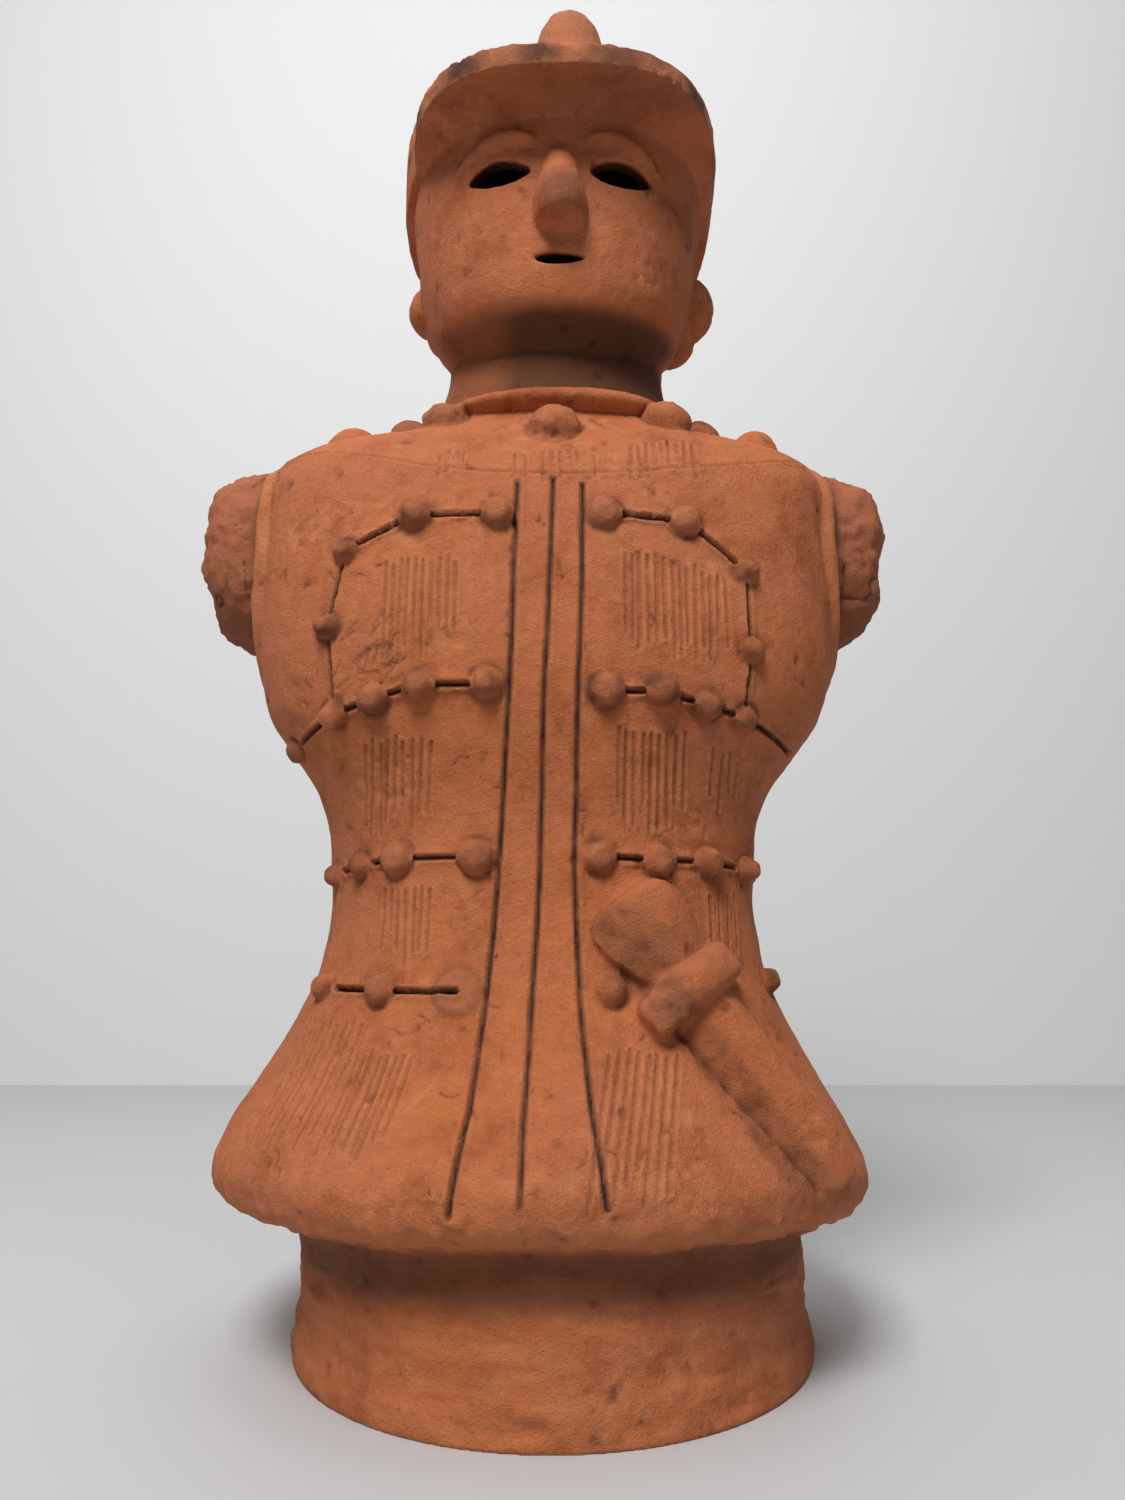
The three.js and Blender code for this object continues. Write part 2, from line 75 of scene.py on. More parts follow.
# Height, half width, half depth, squareness (2 is an ellipse), and the centre's x and y.
BODY_SECTIONS = (
    (0, 121, 122.5, 2, 0, 0),
    (5, 121.5, 122.5, 2, 0, 0),
    (25, 118.5, 119, 2, 0, 0),
    (50, 118.5, 118.5, 2, -1, 0),
    (55, 119.5, 119.5, 2, -1.5, 0),
    (60.5, 124, 122, 2.05, -2, 0),
    (64, 138, 129, 2.1, -4, 0),
    (67, 147, 134.5, 2.1, -5.5, 0),
    (72, 151.5, 138, 2.1, -6, 0),
    (80, 153.5, 139, 2.1, -6.5, 0),
    (96, 148, 133, 2.1, -6.5, 0),
    (120, 135, 121, 2.1, -6, 0),
    (150, 119, 106, 2.15, -6, 0),
    (175, 109, 95, 2.2, -6, 0),
    (205, 105, 89, 2.25, -6, 0),
    (235, 106.5, 88, 2.3, -6, 0),
    (256, 112, 91, 2.4, -5.5, 0),
    (276, 125, 96, 2.6, -5, 0),
    (296, 138, 100, 2.8, -4.5, 0),
    (320, 143, 101, 2.9, -4, 0),
    (360, 145, 98, 2.9, -4, 0),
    (402, 145, 90, 2.9, -4, 0),
    (422, 143, 79, 2.7, -5, 0),
    (430, 135, 72, 2.5, -7, 0),
    (434.5, 119, 67.5, 2.3, -6, 0),
    (439, 97, 64, 2.15, -2.5, 0),
    (446, 82, 61.5, 2.05, -2, 0),
    (456, 69, 60, 2, -1, 0),
    (470, 61.5, 58.5, 2, -0.5, 0),
    (490, 58, 57, 2, 0, 0),
    (530, 58, 57, 2, 2, -4),
)

HEAD_SECTIONS = (
    (484, 46, 44, 2, 0, -8),
    (493, 55, 56, 2, 0, -8.5),
    (500, 62, 66, 2.05, 0, -9),
    (506, 66, 71.5, 2.05, 0, -10),
    (514, 69, 74.5, 2.1, 0, -10),
    (532, 74, 77, 2.1, 0.5, -10),
    (557, 76.5, 78, 2.15, 0.5, -10),
    (585, 80.5, 79, 2.1, 2, -10),
    (610, 82, 78, 2, 3, -10),
    (628, 77, 73, 2, 3, -8),
    (643, 67, 62, 2, 4, -5),
    (655, 51, 46, 2, 4, -4),
    (664, 28, 25, 2, 5, -5),
)

HOLLOW_SECTIONS = (
    (-6, 106.5, 106.5, 2, 0, 0),
    (50, 105, 105, 2, -1, 0),
    (64, 106.5, 106, 2, -1.5, 0),
    (82, 126, 113, 2.1, -5, 0),
    (97, 133, 117, 2.1, -6.5, 0),
    (150, 105, 92, 2.15, -6, 0),
    (205, 91, 75, 2.25, -6, 0),
    (240, 93, 74, 2.35, -6, 0),
    (276, 111, 82, 2.6, -5, 0),
    (308, 130, 87, 2.85, -4, 0),
    (380, 132, 82, 2.9, -4, 0),
    (402, 130, 75, 2.9, -4, 0),
    (414, 124, 66, 2.7, -4, 0),
    (422, 90, 54, 2.4, -3, 0),
    (434, 60, 48, 2.1, -2, 0),
    (450, 50, 46, 2, -1, 0),
    (490, 45, 43, 2, 0, -1),
    (508, 47, 47, 2, 0, -7),
    (527, 60, 61, 2, 0.5, -10),
    (560, 65, 65, 2, 1, -10),
    (610, 67, 63, 2, 3, -10),
    (628, 62, 58, 2, 3, -8),
    (641, 50, 46, 2, 4, -5),
    (650, 24, 22, 2, 4, -4),
)

JAW_SLOPE = 0.19  # the jaw is this much lower for each millimetre towards the front
JAW_SLOPE_ENDS = 560
JAW_FRONT = {"y": -78, "z": 489}
HEM_EDGE = 69  # the height of the skirt's lower edge at the back
HEM_LIFT = 10  # how much higher the hem is in front than at the back
HEM_LIFT_RIGHT = 5
HEM_LIFT_LEFT = 1.5
HELMET = {"overhang": 4.5, "rim": 570, "nape_drop": 0.3, "level": 640, "top": 668}
VISOR = {
    "half_width": 78,
    "reach": 86,
    "squareness": 2.7,
    "thickness": 12,
    "x": 4.5,
    "y": -35,
    "z": 591,
}
KNOB = {"radius": 21, "height": 54, "x": 8, "y": -10, "z": 661}
# The knob's outline, as shares of its radius and height.
KNOB_OUTLINE = (
    (0, 0),
    (1.2, 0),
    (1.12, 0.3),
    (0.98, 0.55),
    (0.82, 0.76),
    (0.62, 0.9),
    (0.36, 0.975),
    (0, 1),
)
# Each knot is an upper ball and a lower one that tapers into the neck: place, then size.
HAIR_KNOTS = (
    ((-69, 2, 535), (13.5, 16, 14)),
    ((-60, 1, 522), (12, 14, 15)),
    ((73, 2, 536), (15.5, 17, 18)),
    ((64, 1, 520), (14, 15, 17)),
)
FACE = {"chin": 482, "brow": 572, "half_width": 75, "x": 3}
CUT_RISE = 0.45  # the eyes and mouth are cut rising into the head
CUT_START = -130
CUT_LENGTH = 72
CUT_TO_FACE = 42  # how far the blade travels before it meets the face
FACE_THIRD = (FACE["brow"] - FACE["chin"]) / 2
ARM = {"y": 6, "z": 386, "radius_y": 44, "radius_z": 50, "root": 118}
ARM_ENDS = ((-1, 182), (1, 177))  # the side, and how far out the broken arm reaches
# The rough clay of a break: how far round the arm it reaches, and how far out it begins.
BREAK = {"reach_y": 60, "reach_z": 62, "out": 143}
ARMHOLE = {"y": 6, "z": 374, "radius_y": 52, "radius_z": 64, "thick": 6, "sunk": 3, "flare": 0.45}

# ---- what is pressed on and cut in ----

# Rows of studs on the front, as a sideways place and a height.
STUD_ROWS = {
    "breast_right": ((-25, 376), (-63, 376), (-95, 361), (-102, 325), (-98, 286)),
    "breast_left": ((23, 376), (60, 373), (88, 351), (89, 314), (86, 284)),
    "breast_edge_right": ((-29, 296), (-59, 296), (-79, 291), (-98, 286), (-122, 276)),
    "breast_edge_left": ((23, 293), (48, 293), (68, 288), (86, 284), (112, 275)),
    "waist_right": ((-33, 222), (-69, 222), (-88, 220), (-104, 217)),
    "waist_left": ((20, 222), (46, 221), (69, 221), (89, 219), (101, 217)),
    "skirt_right": ((-40, 165), (-74, 165), (-104, 165)),
    "skirt_left": ((24, 166),),
    "skirt_side_left": ((100, 167),),
}
LOST_STUDS = ((112, 275), (101, 217), (-40, 165))  # a groove ends here, with no stud on it now
# The rows carried on round the back: height, pitch in degrees, studs on each side, one in the middle.
BACK_ROWS = (
    (374, 17, 2, False),
    (290, 20, 2, True),
    (220, 26, 3, True),
    (165, 26, 3, True),
)
FRONT_LINES = (
    ((-16.6, 392), (-18.7, 293), (-23, 225), (-27, 168), (-32, 118), (-36, 90), (-38, 76)),
    ((0, 394), (-3.5, 293), (-5.6, 216), (-9, 150), (-11, 98), (-11.5, 80)),
    ((13.4, 391), (11.3, 289), (9.5, 220), (11.3, 162), (15.5, 118), (19.4, 90), (21, 78)),
)
YOKE_EDGE = (
    (-132, 423),
    (-110, 418),
    (-83, 410),
    (-60, 403),
    (-30, 399),
    (0, 397),
    (40, 399),
    (70, 403),
    (96, 409),
    (122, 419),
)
# Comb strokes: first and last sideways place, top and bottom height, slant, drop along the row.
COMBED = (
    (-75, -41, 354, 315, 0.0, 0),
    (32, 79, 358, 316, 0.0, -10),
    (-84, -52, 274, 235, 0.05, 0),
    (29, 60, 277, 238, 0.0, 0),
    (72, 85, 272, 249, -0.05, -4),
    (-75, -49, 208, 182, 0.0, 0),
    (70, 84, 208, 186, 0.0, 0),
    (-108, -78, 152, 97, 0.35, 0),
    (-82, -56, 140, 96, 0.25, 0),
    (23, 52, 142, 84, -0.15, 0),
    (-53, -34, 411, 399, 0.0, 0),
    (-18, 21, 410, 399, 0.0, 0),
    (36, 69, 416, 401, 0.0, 3),
)
# Thin pale scratches, as short lines of sideways place and height.
SCRATCHES = (
    ((-70, 366), (-66, 361), (-60, 361), (-55, 364)),
    ((-58, 116), (-46, 131), (-41, 139)),
    ((42, 348), (44, 353)),
    ((-92, 120), (-88, 130)),
    ((55, 372), (52, 365)),
)
# An oval rubbed mark beside the right breast, with scratches round it.
OVAL_MARK = {"x": -78.5, "z": 308, "half_length": 9, "half_height": 5, "tilt": 0.35}

SHOULDER_KNOTS = (((-106, -20, 436), (16, 16, 17)), ((105, -20, 435), (13.5, 14, 16)))
COLLAR = {"radius": 60.5, "out": 9.5, "thick": 4.6, "squareness": 2.5, "z": 449, "rise": 6}
BEADS = {
    "turns": (0, 45, 77, 113, 150, 210, 247, 283, 315),
    "radius_x": 79,
    "radius_y": 74,
    "size": (12.5, 11, 10),
    "side_lift": 1.5,
}
STUD_FLAT = 0.86
SWORD = {"start": (25, 207), "end": (120, 86)}
POMMEL = {"start": 3, "end": 45, "half": 18.5, "high": 17}
GUARD = {"start": 42, "end": 62, "half": 23, "high": 19}
SCABBARD = {"start": 56, "end": 152, "half": 14, "high": 15}

PITS = 3000
FINE_CRACKS = 45

# How each tool marks the clay: half its width in mm, the clay it pushes up beside it as a share of
# its depth, how dark it paints the groove, how pale it paints the groove, and the painted highlight on
# the clay it pushes up.
FRONT_TOOL = {"half_width": 1.0, "lip": 0.25, "dirt_and_shade": 0.95, "painted_lip_highlight": 0.25}
ROW_TOOL = {"half_width": 1.05, "lip": 0.6, "dirt_and_shade": 0.9, "painted_lip_highlight": 0.45}
UPRIGHT_TOOL = {"half_width": 0.75, "lip": 0.6, "dirt_and_shade": 0.9, "painted_lip_highlight": 0.45}
YOKE_TOOL = {"half_width": 0.9, "lip": 0.8, "dirt_and_shade": 0.2, "painted_lip_highlight": 0.3}
COMB_TOOL = {"half_width": 0.75, "lip": 0.7, "dirt_and_shade": 0.25, "painted_lip_highlight": 0.7}
SCRATCH_TOOL = {"half_width": 0.8, "lip": 0.2, "dirt_and_shade": 0.0, "pale": 1.0}
# This tool's dark paint is painted shadow in the crease beside the scabbard.
SWORD_CREASE = {"half_width": 1.3, "lip": 0.1, "dirt_and_shade": 0.45}
CRACK = {"half_width": 0.45, "lip": 0.2, "dirt_and_shade": 0.55}
OVAL_TOOL = {"half_width": 0.7, "lip": 0.4, "dirt_and_shade": 0.45, "painted_lip_highlight": 0.3}
STRAW = {"half_width": 0.6, "lip": 0.5, "dirt_and_shade": 0.4, "painted_lip_highlight": 0.3}
STRAWS_ROUND_OVAL = 22

# The dark masks carry painted shade as well as smoke stains and the dark of grooves and pits, and the
# pale mask carries painted highlights as well as scratches and scuffs.
MASKS = ("outer", "dirt_and_shade", "pale", "worn", "broken", "soot_and_shade")

BACKDROP_HALF = 4.0
PAINT_ROUGHNESS = 0.7
ROOM_LIGHT = 0.08
# Name, place, what it aims at, size and watts.
LIGHTS = (
    ("key", (-0.35, -1.3, 1.8), (FOOT_X, 0, 0.35), 0.7, 40),
    ("overhead", (0.0, -0.3, 2.6), (0, 0.1, 0.3), 2.4, 24),
)


# ---- forms ----


def noise(places, size, seed=0):
    """Smooth noise between -1 and 1, with lumps of about the given size."""
    grid = np.asarray(places, float) / size + 19.7 * seed
    cell = np.floor(grid).astype(np.int64)
    t = grid - cell
    t = t * t * t * (t * (t * 6 - 15) + 10)
    total = np.zeros(len(grid))
    for corner in itertools.product((0, 1), repeat=3):
        x, y, z = (cell + corner).T
        mixed = (x * 73856093) ^ (y * 19349663) ^ (z * 83492791) ^ (seed * 40503)
        mixed = ((mixed ^ (mixed >> 13)) & 0x7FFFFFFF) * 1274126177
        value = ((mixed >> 16) & 0xFFFF) / 32767.5 - 1
        total += value * np.prod(np.where(corner, t, 1 - t), axis=1)
    return total


def smoothstep(low, high, value):
    t = np.clip((value - low) / (high - low), 0, 1)
    return t * t * (3 - 2 * t)


class Form:
    """A smooth closed form given by sections up its height, which it never overshoots."""

    def __init__(self, sections):
        self.table = np.array(sections, float)
        self.heights = self.table[:, 0]
        rise = np.diff(self.table, axis=0) / np.diff(self.heights)[:, None]
        below, above = rise[:-1], rise[1:]
        same_way = below * above > 0
        total = np.where(same_way, below + above, 1)
        inner = np.where(same_way, 2 * below * above / total, 0)
        self.slope = np.vstack([rise[:1], inner, rise[-1:]])

    def at(self, height):
        """Half width, half depth, squareness, and the centre's x and y at each height."""
        height = np.atleast_1d(np.asarray(height, float))
        last = len(self.heights) - 2
        i = np.clip(np.searchsorted(self.heights, height, side="right") - 1, 0, last)
        span = self.heights[i + 1] - self.heights[i]
        t = np.clip((height - self.heights[i]) / span, 0, 1)[:, None]
        ease = t * t * (3 - 2 * t)
        value = self.table[i] * (1 - ease) + self.table[i + 1] * ease
        bend = self.slope[i] * t * (1 - t) ** 2 - self.slope[i + 1] * t * t * (1 - t)
        return (value + span[:, None] * bend)[:, 1:].T

    def point(self, height, turn, inset=0):
        """Points on the form. turn is the angle from the front, positive to the figure's left."""
        wide, deep, square, x, y = self.at(height)
        sine, cosine = np.sin(turn), np.cos(turn)
        return np.stack(
            [
                x + (wide - inset) * np.sign(sine) * np.abs(sine) ** (2 / square),
                y - (deep - inset) * np.sign(cosine) * np.abs(cosine) ** (2 / square),
                np.broadcast_to(height, wide.shape),
            ],
            axis=1,
        )

    def front(self, x, height):
        """The front of the form at sideways places and heights."""
        x, height = np.broadcast_arrays(np.atleast_1d(x).astype(float), height)
        wide, deep, square, middle_x, middle_y = self.at(height)
        across = np.clip(np.abs(x - middle_x) / wide, 0, 0.995)
        y = middle_y - deep * (1 - across**square) ** (1 / square)
        return np.stack([x, y, height], axis=1)

    def side(self, y, height, side):
        """How far out the form is at front-to-back places and heights."""
        wide, deep, square, middle_x, middle_y = self.at(height)
        along = np.clip(np.abs(y - middle_y) / deep, 0, 0.97)
        return middle_x + side * wide * (1 - along**square) ** (1 / square)

    def top(self, x, y, low=400, high=500):
        """The height of the form over places in plan, found by halving."""
        low, high = np.full(len(x), float(low)), np.full(len(x), float(high))
        for _ in range(20):
            middle = (low + high) / 2
            wide, deep, square, middle_x, middle_y = self.at(middle)
            reach = np.abs((x - middle_x) / wide) ** square
            reach += np.abs((y - middle_y) / deep) ** square
            high = np.where(reach > 1, middle, high)
            low = np.where(reach > 1, low, middle)
        return low


BODY = Form(BODY_SECTIONS)
HEAD = Form(HEAD_SECTIONS)
HOLLOW = Form(HOLLOW_SECTIONS)


def front_frame(form, x, height):
    """A point on the front of a form, and the way the form faces there."""
    heights = np.array([height, height, height, height - 1, height + 1.0])
    around = form.front([x, x - 1, x + 1, x, x], heights)
    along, up = around[2] - around[1], around[4] - around[3]
    facing = Vector(np.cross(along, up)).normalized()
    return Vector(around[0]), facing


def round_frame(form, turn, height):
    """A point on a form at an angle from the front, and the way the form faces there."""
    turns = np.array([turn, turn - 0.01, turn + 0.01, turn, turn])
    heights = np.array([height, height, height, height - 1, height + 1.0])
    around = form.point(heights, turns)
    along, up = around[2] - around[1], around[4] - around[3]
    return Vector(around[0]), Vector(np.cross(along, up)).normalized()


def spread(rule, verts):
    """Moves vertices by a rule that works on the array of all their places."""
    places = rule(np.array([v.co for v in verts]))
    for vert, place in zip(verts, places):
        vert.co = place


def add_part(clay, part):
    """Adds a part's closed surface to the rest of the clay."""
    bmesh.ops.recalc_face_normals(part, faces=part.faces)
    mesh = bpy.data.meshes.new("part")
    part.to_mesh(mesh)
    part.free()
    clay.from_mesh(mesh)
    bpy.data.meshes.remove(mesh)


# ---- the hand-built wall ----


def form_part(form, step, sides, low=None, high=None, inset=0, move=None):
    """A closed surface of a form, from a ball whose rings become the form's sections."""
    low = form.heights[0] if low is None else low
    high = form.heights[-1] if high is None else high
    rings = max(3, round((high - low) / step))
    part = bmesh.new()
    bmesh.ops.create_uvsphere(part, u_segments=sides, v_segments=rings + 1, radius=1)

    def rule(ball):
        ring = np.rint(np.arccos(np.clip(-ball[:, 2], -1, 1)) / math.pi * (rings + 1))
        height = low + (high - low) * np.clip(ring - 1, 0, rings - 1) / (rings - 1)
        turn = np.arctan2(ball[:, 0], -ball[:, 1])
        places = form.point(height, turn, inset)
        pole = (ring < 1) | (ring > rings)
        centre = np.stack([*form.at(height)[3:], height], axis=1)
        places = np.where(pole[:, None], centre, places)
        return places if move is None else move(places)

    spread(rule, part.verts)
    return part


def hem_rise(x, y):
    """How much higher the hem runs here than at the back."""
    rise = HEM_LIFT * np.clip(-y / 135, 0, 1) ** 2
    return rise + HEM_LIFT_RIGHT * smoothstep(60, 150, -x) + HEM_LIFT_LEFT * smoothstep(60, 150, x)


def lift_hem(places):
    """Raises the hem a little in front."""
    x, y, z = places.T
    near_hem = smoothstep(46, 62, z) * (1 - smoothstep(90, 150, z))
    return np.stack([x, y, z + near_hem * hem_rise(x, y)], axis=1)


def slope_jaw(places):
    """Lets the jaw down in front and lifts it behind, below the cheeks."""
    x, y, z = places.T
    low = smoothstep(0, 70, JAW_SLOPE_ENDS - z)
    return np.stack([x, y, z + low * JAW_SLOPE * (y + 8)], axis=1)


def slope_helmet(places):
    """Lets the helmet's rim down towards the nape."""
    x, y, z = places.T
    low = smoothstep(0, HELMET["level"] - HELMET["rim"], HELMET["level"] - z)
    return np.stack([x, y, z - low * HELMET["nape_drop"] * (y + 10)], axis=1)


# ---- pressed-on clay ----


def ball_part(place, size, way=None, sides=20, rings=14, flat=1.0):
    """A ball of clay, its third size along the way it faces, pressed flat above a share of it."""
    part = bmesh.new()
    turn = Matrix.Identity(3) if way is None else way.to_track_quat("Z", "Y").to_matrix()
    matrix = Matrix.Translation(place) @ turn.to_4x4() @ Matrix.Diagonal((*size, 1))
    bmesh.ops.create_uvsphere(part, u_segments=sides, v_segments=rings, radius=1)
    for vert in part.verts:
        vert.co.z = min(vert.co.z, flat)
    bmesh.ops.transform(part, matrix=matrix, verts=part.verts)
    return part


def ring_part(around, across, rule):
    """A ring of clay. rule places it from its angle, and its offsets out and up within the section."""
    part = bmesh.new()
    section = Matrix.Translation((1, 0, 0)) @ Matrix.Rotation(math.pi / 2, 4, "X")
    circle = bmesh.ops.create_circle(part, segments=across, radius=0.1, matrix=section)
    edges = list({edge for vert in circle["verts"] for edge in vert.link_edges})
    bmesh.ops.spin(
        part,
        geom=circle["verts"] + edges,
        cent=(0, 0, 0),
        axis=(0, 0, 1),
        angle=2 * math.pi,
        steps=around,
        use_merge=True,
    )

    def placed(ring):
        turn = np.arctan2(ring[:, 0], -ring[:, 1])
        out = (np.hypot(ring[:, 0], ring[:, 1]) - 1) / 0.1
        return rule(turn, out, ring[:, 2] / 0.1)

    spread(placed, part.verts)
    return part


def stud_frames():
    """The place and facing of every stud, the front rows first."""
    seen = set()
    for row in STUD_ROWS.values():
        for x, height in row:
            if (x, height) not in seen and (x, height) not in LOST_STUDS:
                seen.add((x, height))
                yield front_frame(BODY, x, height)
    for height, pitch, per_side, middle in BACK_ROWS:
        turns = [180.0] if middle else []
        for k in range(1, per_side + 1):
            away = (k if middle else k - 0.5) * pitch
            turns += [180 + away, 180 - away]
        for turn in turns:
            yield round_frame(BODY, math.radians(turn), height)


def stud_size(place, sizes):
    """A stud's radius, which is less for those nearer the figure's sides."""
    outer = smoothstep(62, 85, abs(place[0] - BODY.at(place[2])[3][0]))
    return sizes.stud_radius * (1.04 - 0.2 * outer)


def add_studs(clay, sizes, pick):
    for place, way in stud_frames():
        radius = stud_size(place, sizes) * pick.uniform(0.95, 1.05)
        height = sizes.stud_height * pick.uniform(0.85, 1.1)
        oval = pick.uniform(0.94, 1.06)
        size = (radius * oval, radius / oval, height / STUD_FLAT)
        add_part(clay, ball_part(place, size, way, 18, 16, STUD_FLAT))


def bead_places():
    """The middle of every bead of the necklace, and its turn from the front."""
    for degrees in BEADS["turns"]:
        turn = math.radians(degrees)
        x, y = BEADS["radius_x"] * math.sin(turn), -BEADS["radius_y"] * math.cos(turn)
        z = BODY.top(np.array([x]), np.array([y]))[0] + BEADS["side_lift"] * math.sin(turn) ** 2
        yield (x, y, z), turn


def add_beads(clay, pick):
    for place, turn in bead_places():
        wide, deep, tall = (size * pick.uniform(0.92, 1.08) for size in BEADS["size"])
        part = ball_part((0, 0, 0), (wide, deep, tall), sides=18, rings=12)
        turned = Matrix.Translation(place) @ Matrix.Rotation(turn, 4, "Z")
        bmesh.ops.transform(part, matrix=turned, verts=part.verts)
        add_part(clay, part)


def collar_rule(turn, out, up):
    power = 2 / COLLAR["squareness"]
    x = COLLAR["radius"] * np.sign(np.sin(turn)) * np.abs(np.sin(turn)) ** power
    y = -COLLAR["radius"] * np.sign(np.cos(turn)) * np.abs(np.cos(turn)) ** power
    z = COLLAR["z"] + COLLAR["rise"] * smoothstep(-1, 0, -np.cos(turn))
    x = x + np.sin(turn) * out * COLLAR["out"]
    y = y - np.cos(turn) * out * COLLAR["out"]
    return np.stack([x, y, z + up * COLLAR["thick"]], axis=1)


def armhole_rule(side):
    """Lays the jacket's rolled edge on the side of the body, round the arm."""

    def rule(turn, out, up):
        thick = ARMHOLE["thick"]
        y = ARMHOLE["y"] + np.sin(turn) * (ARMHOLE["radius_y"] + out * thick)
        z = ARMHOLE["z"] - np.cos(turn) * (ARMHOLE["radius_z"] + out * thick)
        # The edge stands off the wall in front and behind, like a short sleeve.
        wall, widest = BODY.side(y, z, side), BODY.side(0, z, side)
        wall = wall + ARMHOLE["flare"] * (widest - wall) - side * ARMHOLE["sunk"]
        return np.stack([wall + side * up * thick, y, z], axis=1)

    return rule


def stump_part(side, end):
    """A broken arm, blunt at its end."""
    part = ball_part((0, 0, 0), (1, 1, 1), sides=40, rings=28)
    middle = BODY.at(ARM["z"])[3][0]

    def rule(ball):
        out = np.maximum(np.sign(ball[:, 0]) * np.abs(ball[:, 0]) ** 0.42 * side, -0.3)
        # The rings near the end are widened, so the break is blunt.
        ring = np.hypot(ball[:, 1], ball[:, 2])
        power = np.where(ball[:, 2] > 0, -0.4, -0.12)
        fuller = np.where(ring > 0.01, np.clip(ring, 0.01, 1) ** power, 1)
        return np.stack(
            [
                middle + side * (ARM["root"] + (end - ARM["root"]) * out),
                ARM["y"] + ARM["radius_y"] * ball[:, 1] * fuller,
                ARM["z"] + ARM["radius_z"] * ball[:, 2] * fuller,
            ],
            axis=1,
        )

    spread(rule, part.verts)
    return part


def add_arms(clay):
    for side, end in ARM_ENDS:
        add_part(clay, stump_part(side, end))
        add_part(clay, ring_part(96, 14, armhole_rule(side)))


def sword_place(along, across):
    """A sideways place and height on the skirt, from lengths along and across the sword."""
    (x0, z0), (x1, z1) = SWORD["start"], SWORD["end"]
    length = math.hypot(x1 - x0, z1 - z0)
    way_x, way_z = (x1 - x0) / length, (z1 - z0) / length
    return x0 + way_x * along - way_z * across, z0 + way_z * along + way_x * across


def sword_part(start, end, half, high, shape):
    """A block of clay laid on the skirt along the sword, shaped by a rule for its three sizes."""
    part = bmesh.new()
    bmesh.ops.create_cube(part, size=1)
    bmesh.ops.bevel(
        part,
        geom=part.edges[:],
        offset=0.24,
        segments=4,
        profile=0.5,
        affect="EDGES",
        material=-1,
    )
    long_edges = [e for e in part.edges if abs((e.verts[0].co - e.verts[1].co).x) > 0.3]
    bmesh.ops.subdivide_edges(part, edges=long_edges, cuts=10, use_grid_fill=True)
    cross_edges = [e for e in part.edges if abs((e.verts[0].co - e.verts[1].co).y) > 0.3]
    bmesh.ops.subdivide_edges(part, edges=cross_edges, cuts=7, use_grid_fill=True)
    sunk = 6
    for vert in part.verts:
        share = vert.co.x + 0.5
        across, out = shape(share, vert.co.y * 2 * half, (vert.co.z + 0.5) * (high + sunk) - sunk)
        place, facing = front_frame(BODY, *sword_place(start + (end - start) * share, across))
        vert.co = place + facing * out
    return part


def pommel_shape(share, across, out):
    lean = across / POMMEL["half"]
    # The lower face is hollow and falls away towards the front of the jacket.
    fall = 0.55 * float(smoothstep(0.15, -0.95, lean))
    crown = 1 - 0.25 * max(lean, 0) ** 2 - fall
    swell = 1 + 0.16 * math.sin(math.pi * min(share * 1.3, 1)) - 0.2 * share
    return across * swell, out if out < 0 else out * crown * (1 - 0.18 * share)


def guard_shape(share, across, out):
    lean = across / GUARD["half"]
    crown = 1 - 0.35 * lean**2 + 0.12 * math.sin(3.2 * lean + 0.8)
    return across - 2, out if out < 0 else out * crown * (1 - 0.15 * abs(2 * share - 1) ** 2)


def scabbard_shape(share, across, out):
    taper = 1 - 0.28 * share
    ridge = 1 - 0.8 * abs(across / SCABBARD["half"] - 0.1) ** 1.1
    return across * taper, out if out < 0 else out * ridge * (1 - 0.2 * share**3)


def add_sword(clay):
    add_part(clay, sword_part(*POMMEL.values(), pommel_shape))
    add_part(clay, sword_part(*GUARD.values(), guard_shape))
    add_part(clay, sword_part(*SCABBARD.values(), scabbard_shape))


# ---- the helmet and the face ----


def visor_part():
    """A thick shelf with a rounded edge, running from temple to temple."""
    part = bmesh.new()
    bmesh.ops.create_cone(
        part, cap_ends=True, segments=96, radius1=1, radius2=1, depth=VISOR["thickness"]
    )
    rims = [e for e in part.edges if abs(e.verts[0].co.z - e.verts[1].co.z) < 1e-6]
    bmesh.ops.bevel(
        part, geom=rims, offset=0.04, segments=4, profile=0.5, affect="EDGES", material=-1
    )
    power = 2 / VISOR["squareness"]

    def rule(disc):
        turn, share = np.arctan2(disc[:, 0], -disc[:, 1]), np.hypot(disc[:, 0], disc[:, 1])
        sine, cosine = np.sin(turn), np.cos(turn)
        across = np.sign(sine) * np.abs(sine) ** power
        along = np.sign(cosine) * np.abs(cosine) ** power
        x = VISOR["x"] + VISOR["half_width"] * share * across
        y = VISOR["y"] - VISOR["reach"] * share * along
        return np.stack([x, y, VISOR["z"] + disc[:, 2]], axis=1)

    spread(rule, part.verts)
    return part


def knob_part():
    """The knob on the crown, turned from its outline."""
    part = bmesh.new()
    radius, height = KNOB["radius"], KNOB["height"]
    verts = [part.verts.new((radius * r, 0, height * z)) for r, z in KNOB_OUTLINE]
    edges = [part.edges.new(pair) for pair in zip(verts[:-1], verts[1:])]
    bmesh.ops.spin(
        part,
        geom=verts + edges,
        cent=(0, 0, 0),
        axis=(0, 0, 1),
        angle=2 * math.pi,
        steps=32,
        use_merge=True,
    )
    bmesh.ops.remove_doubles(part, verts=part.verts, dist=0.01)
    bmesh.ops.translate(part, vec=(KNOB["x"], KNOB["y"], KNOB["z"]), verts=part.verts)
    return part


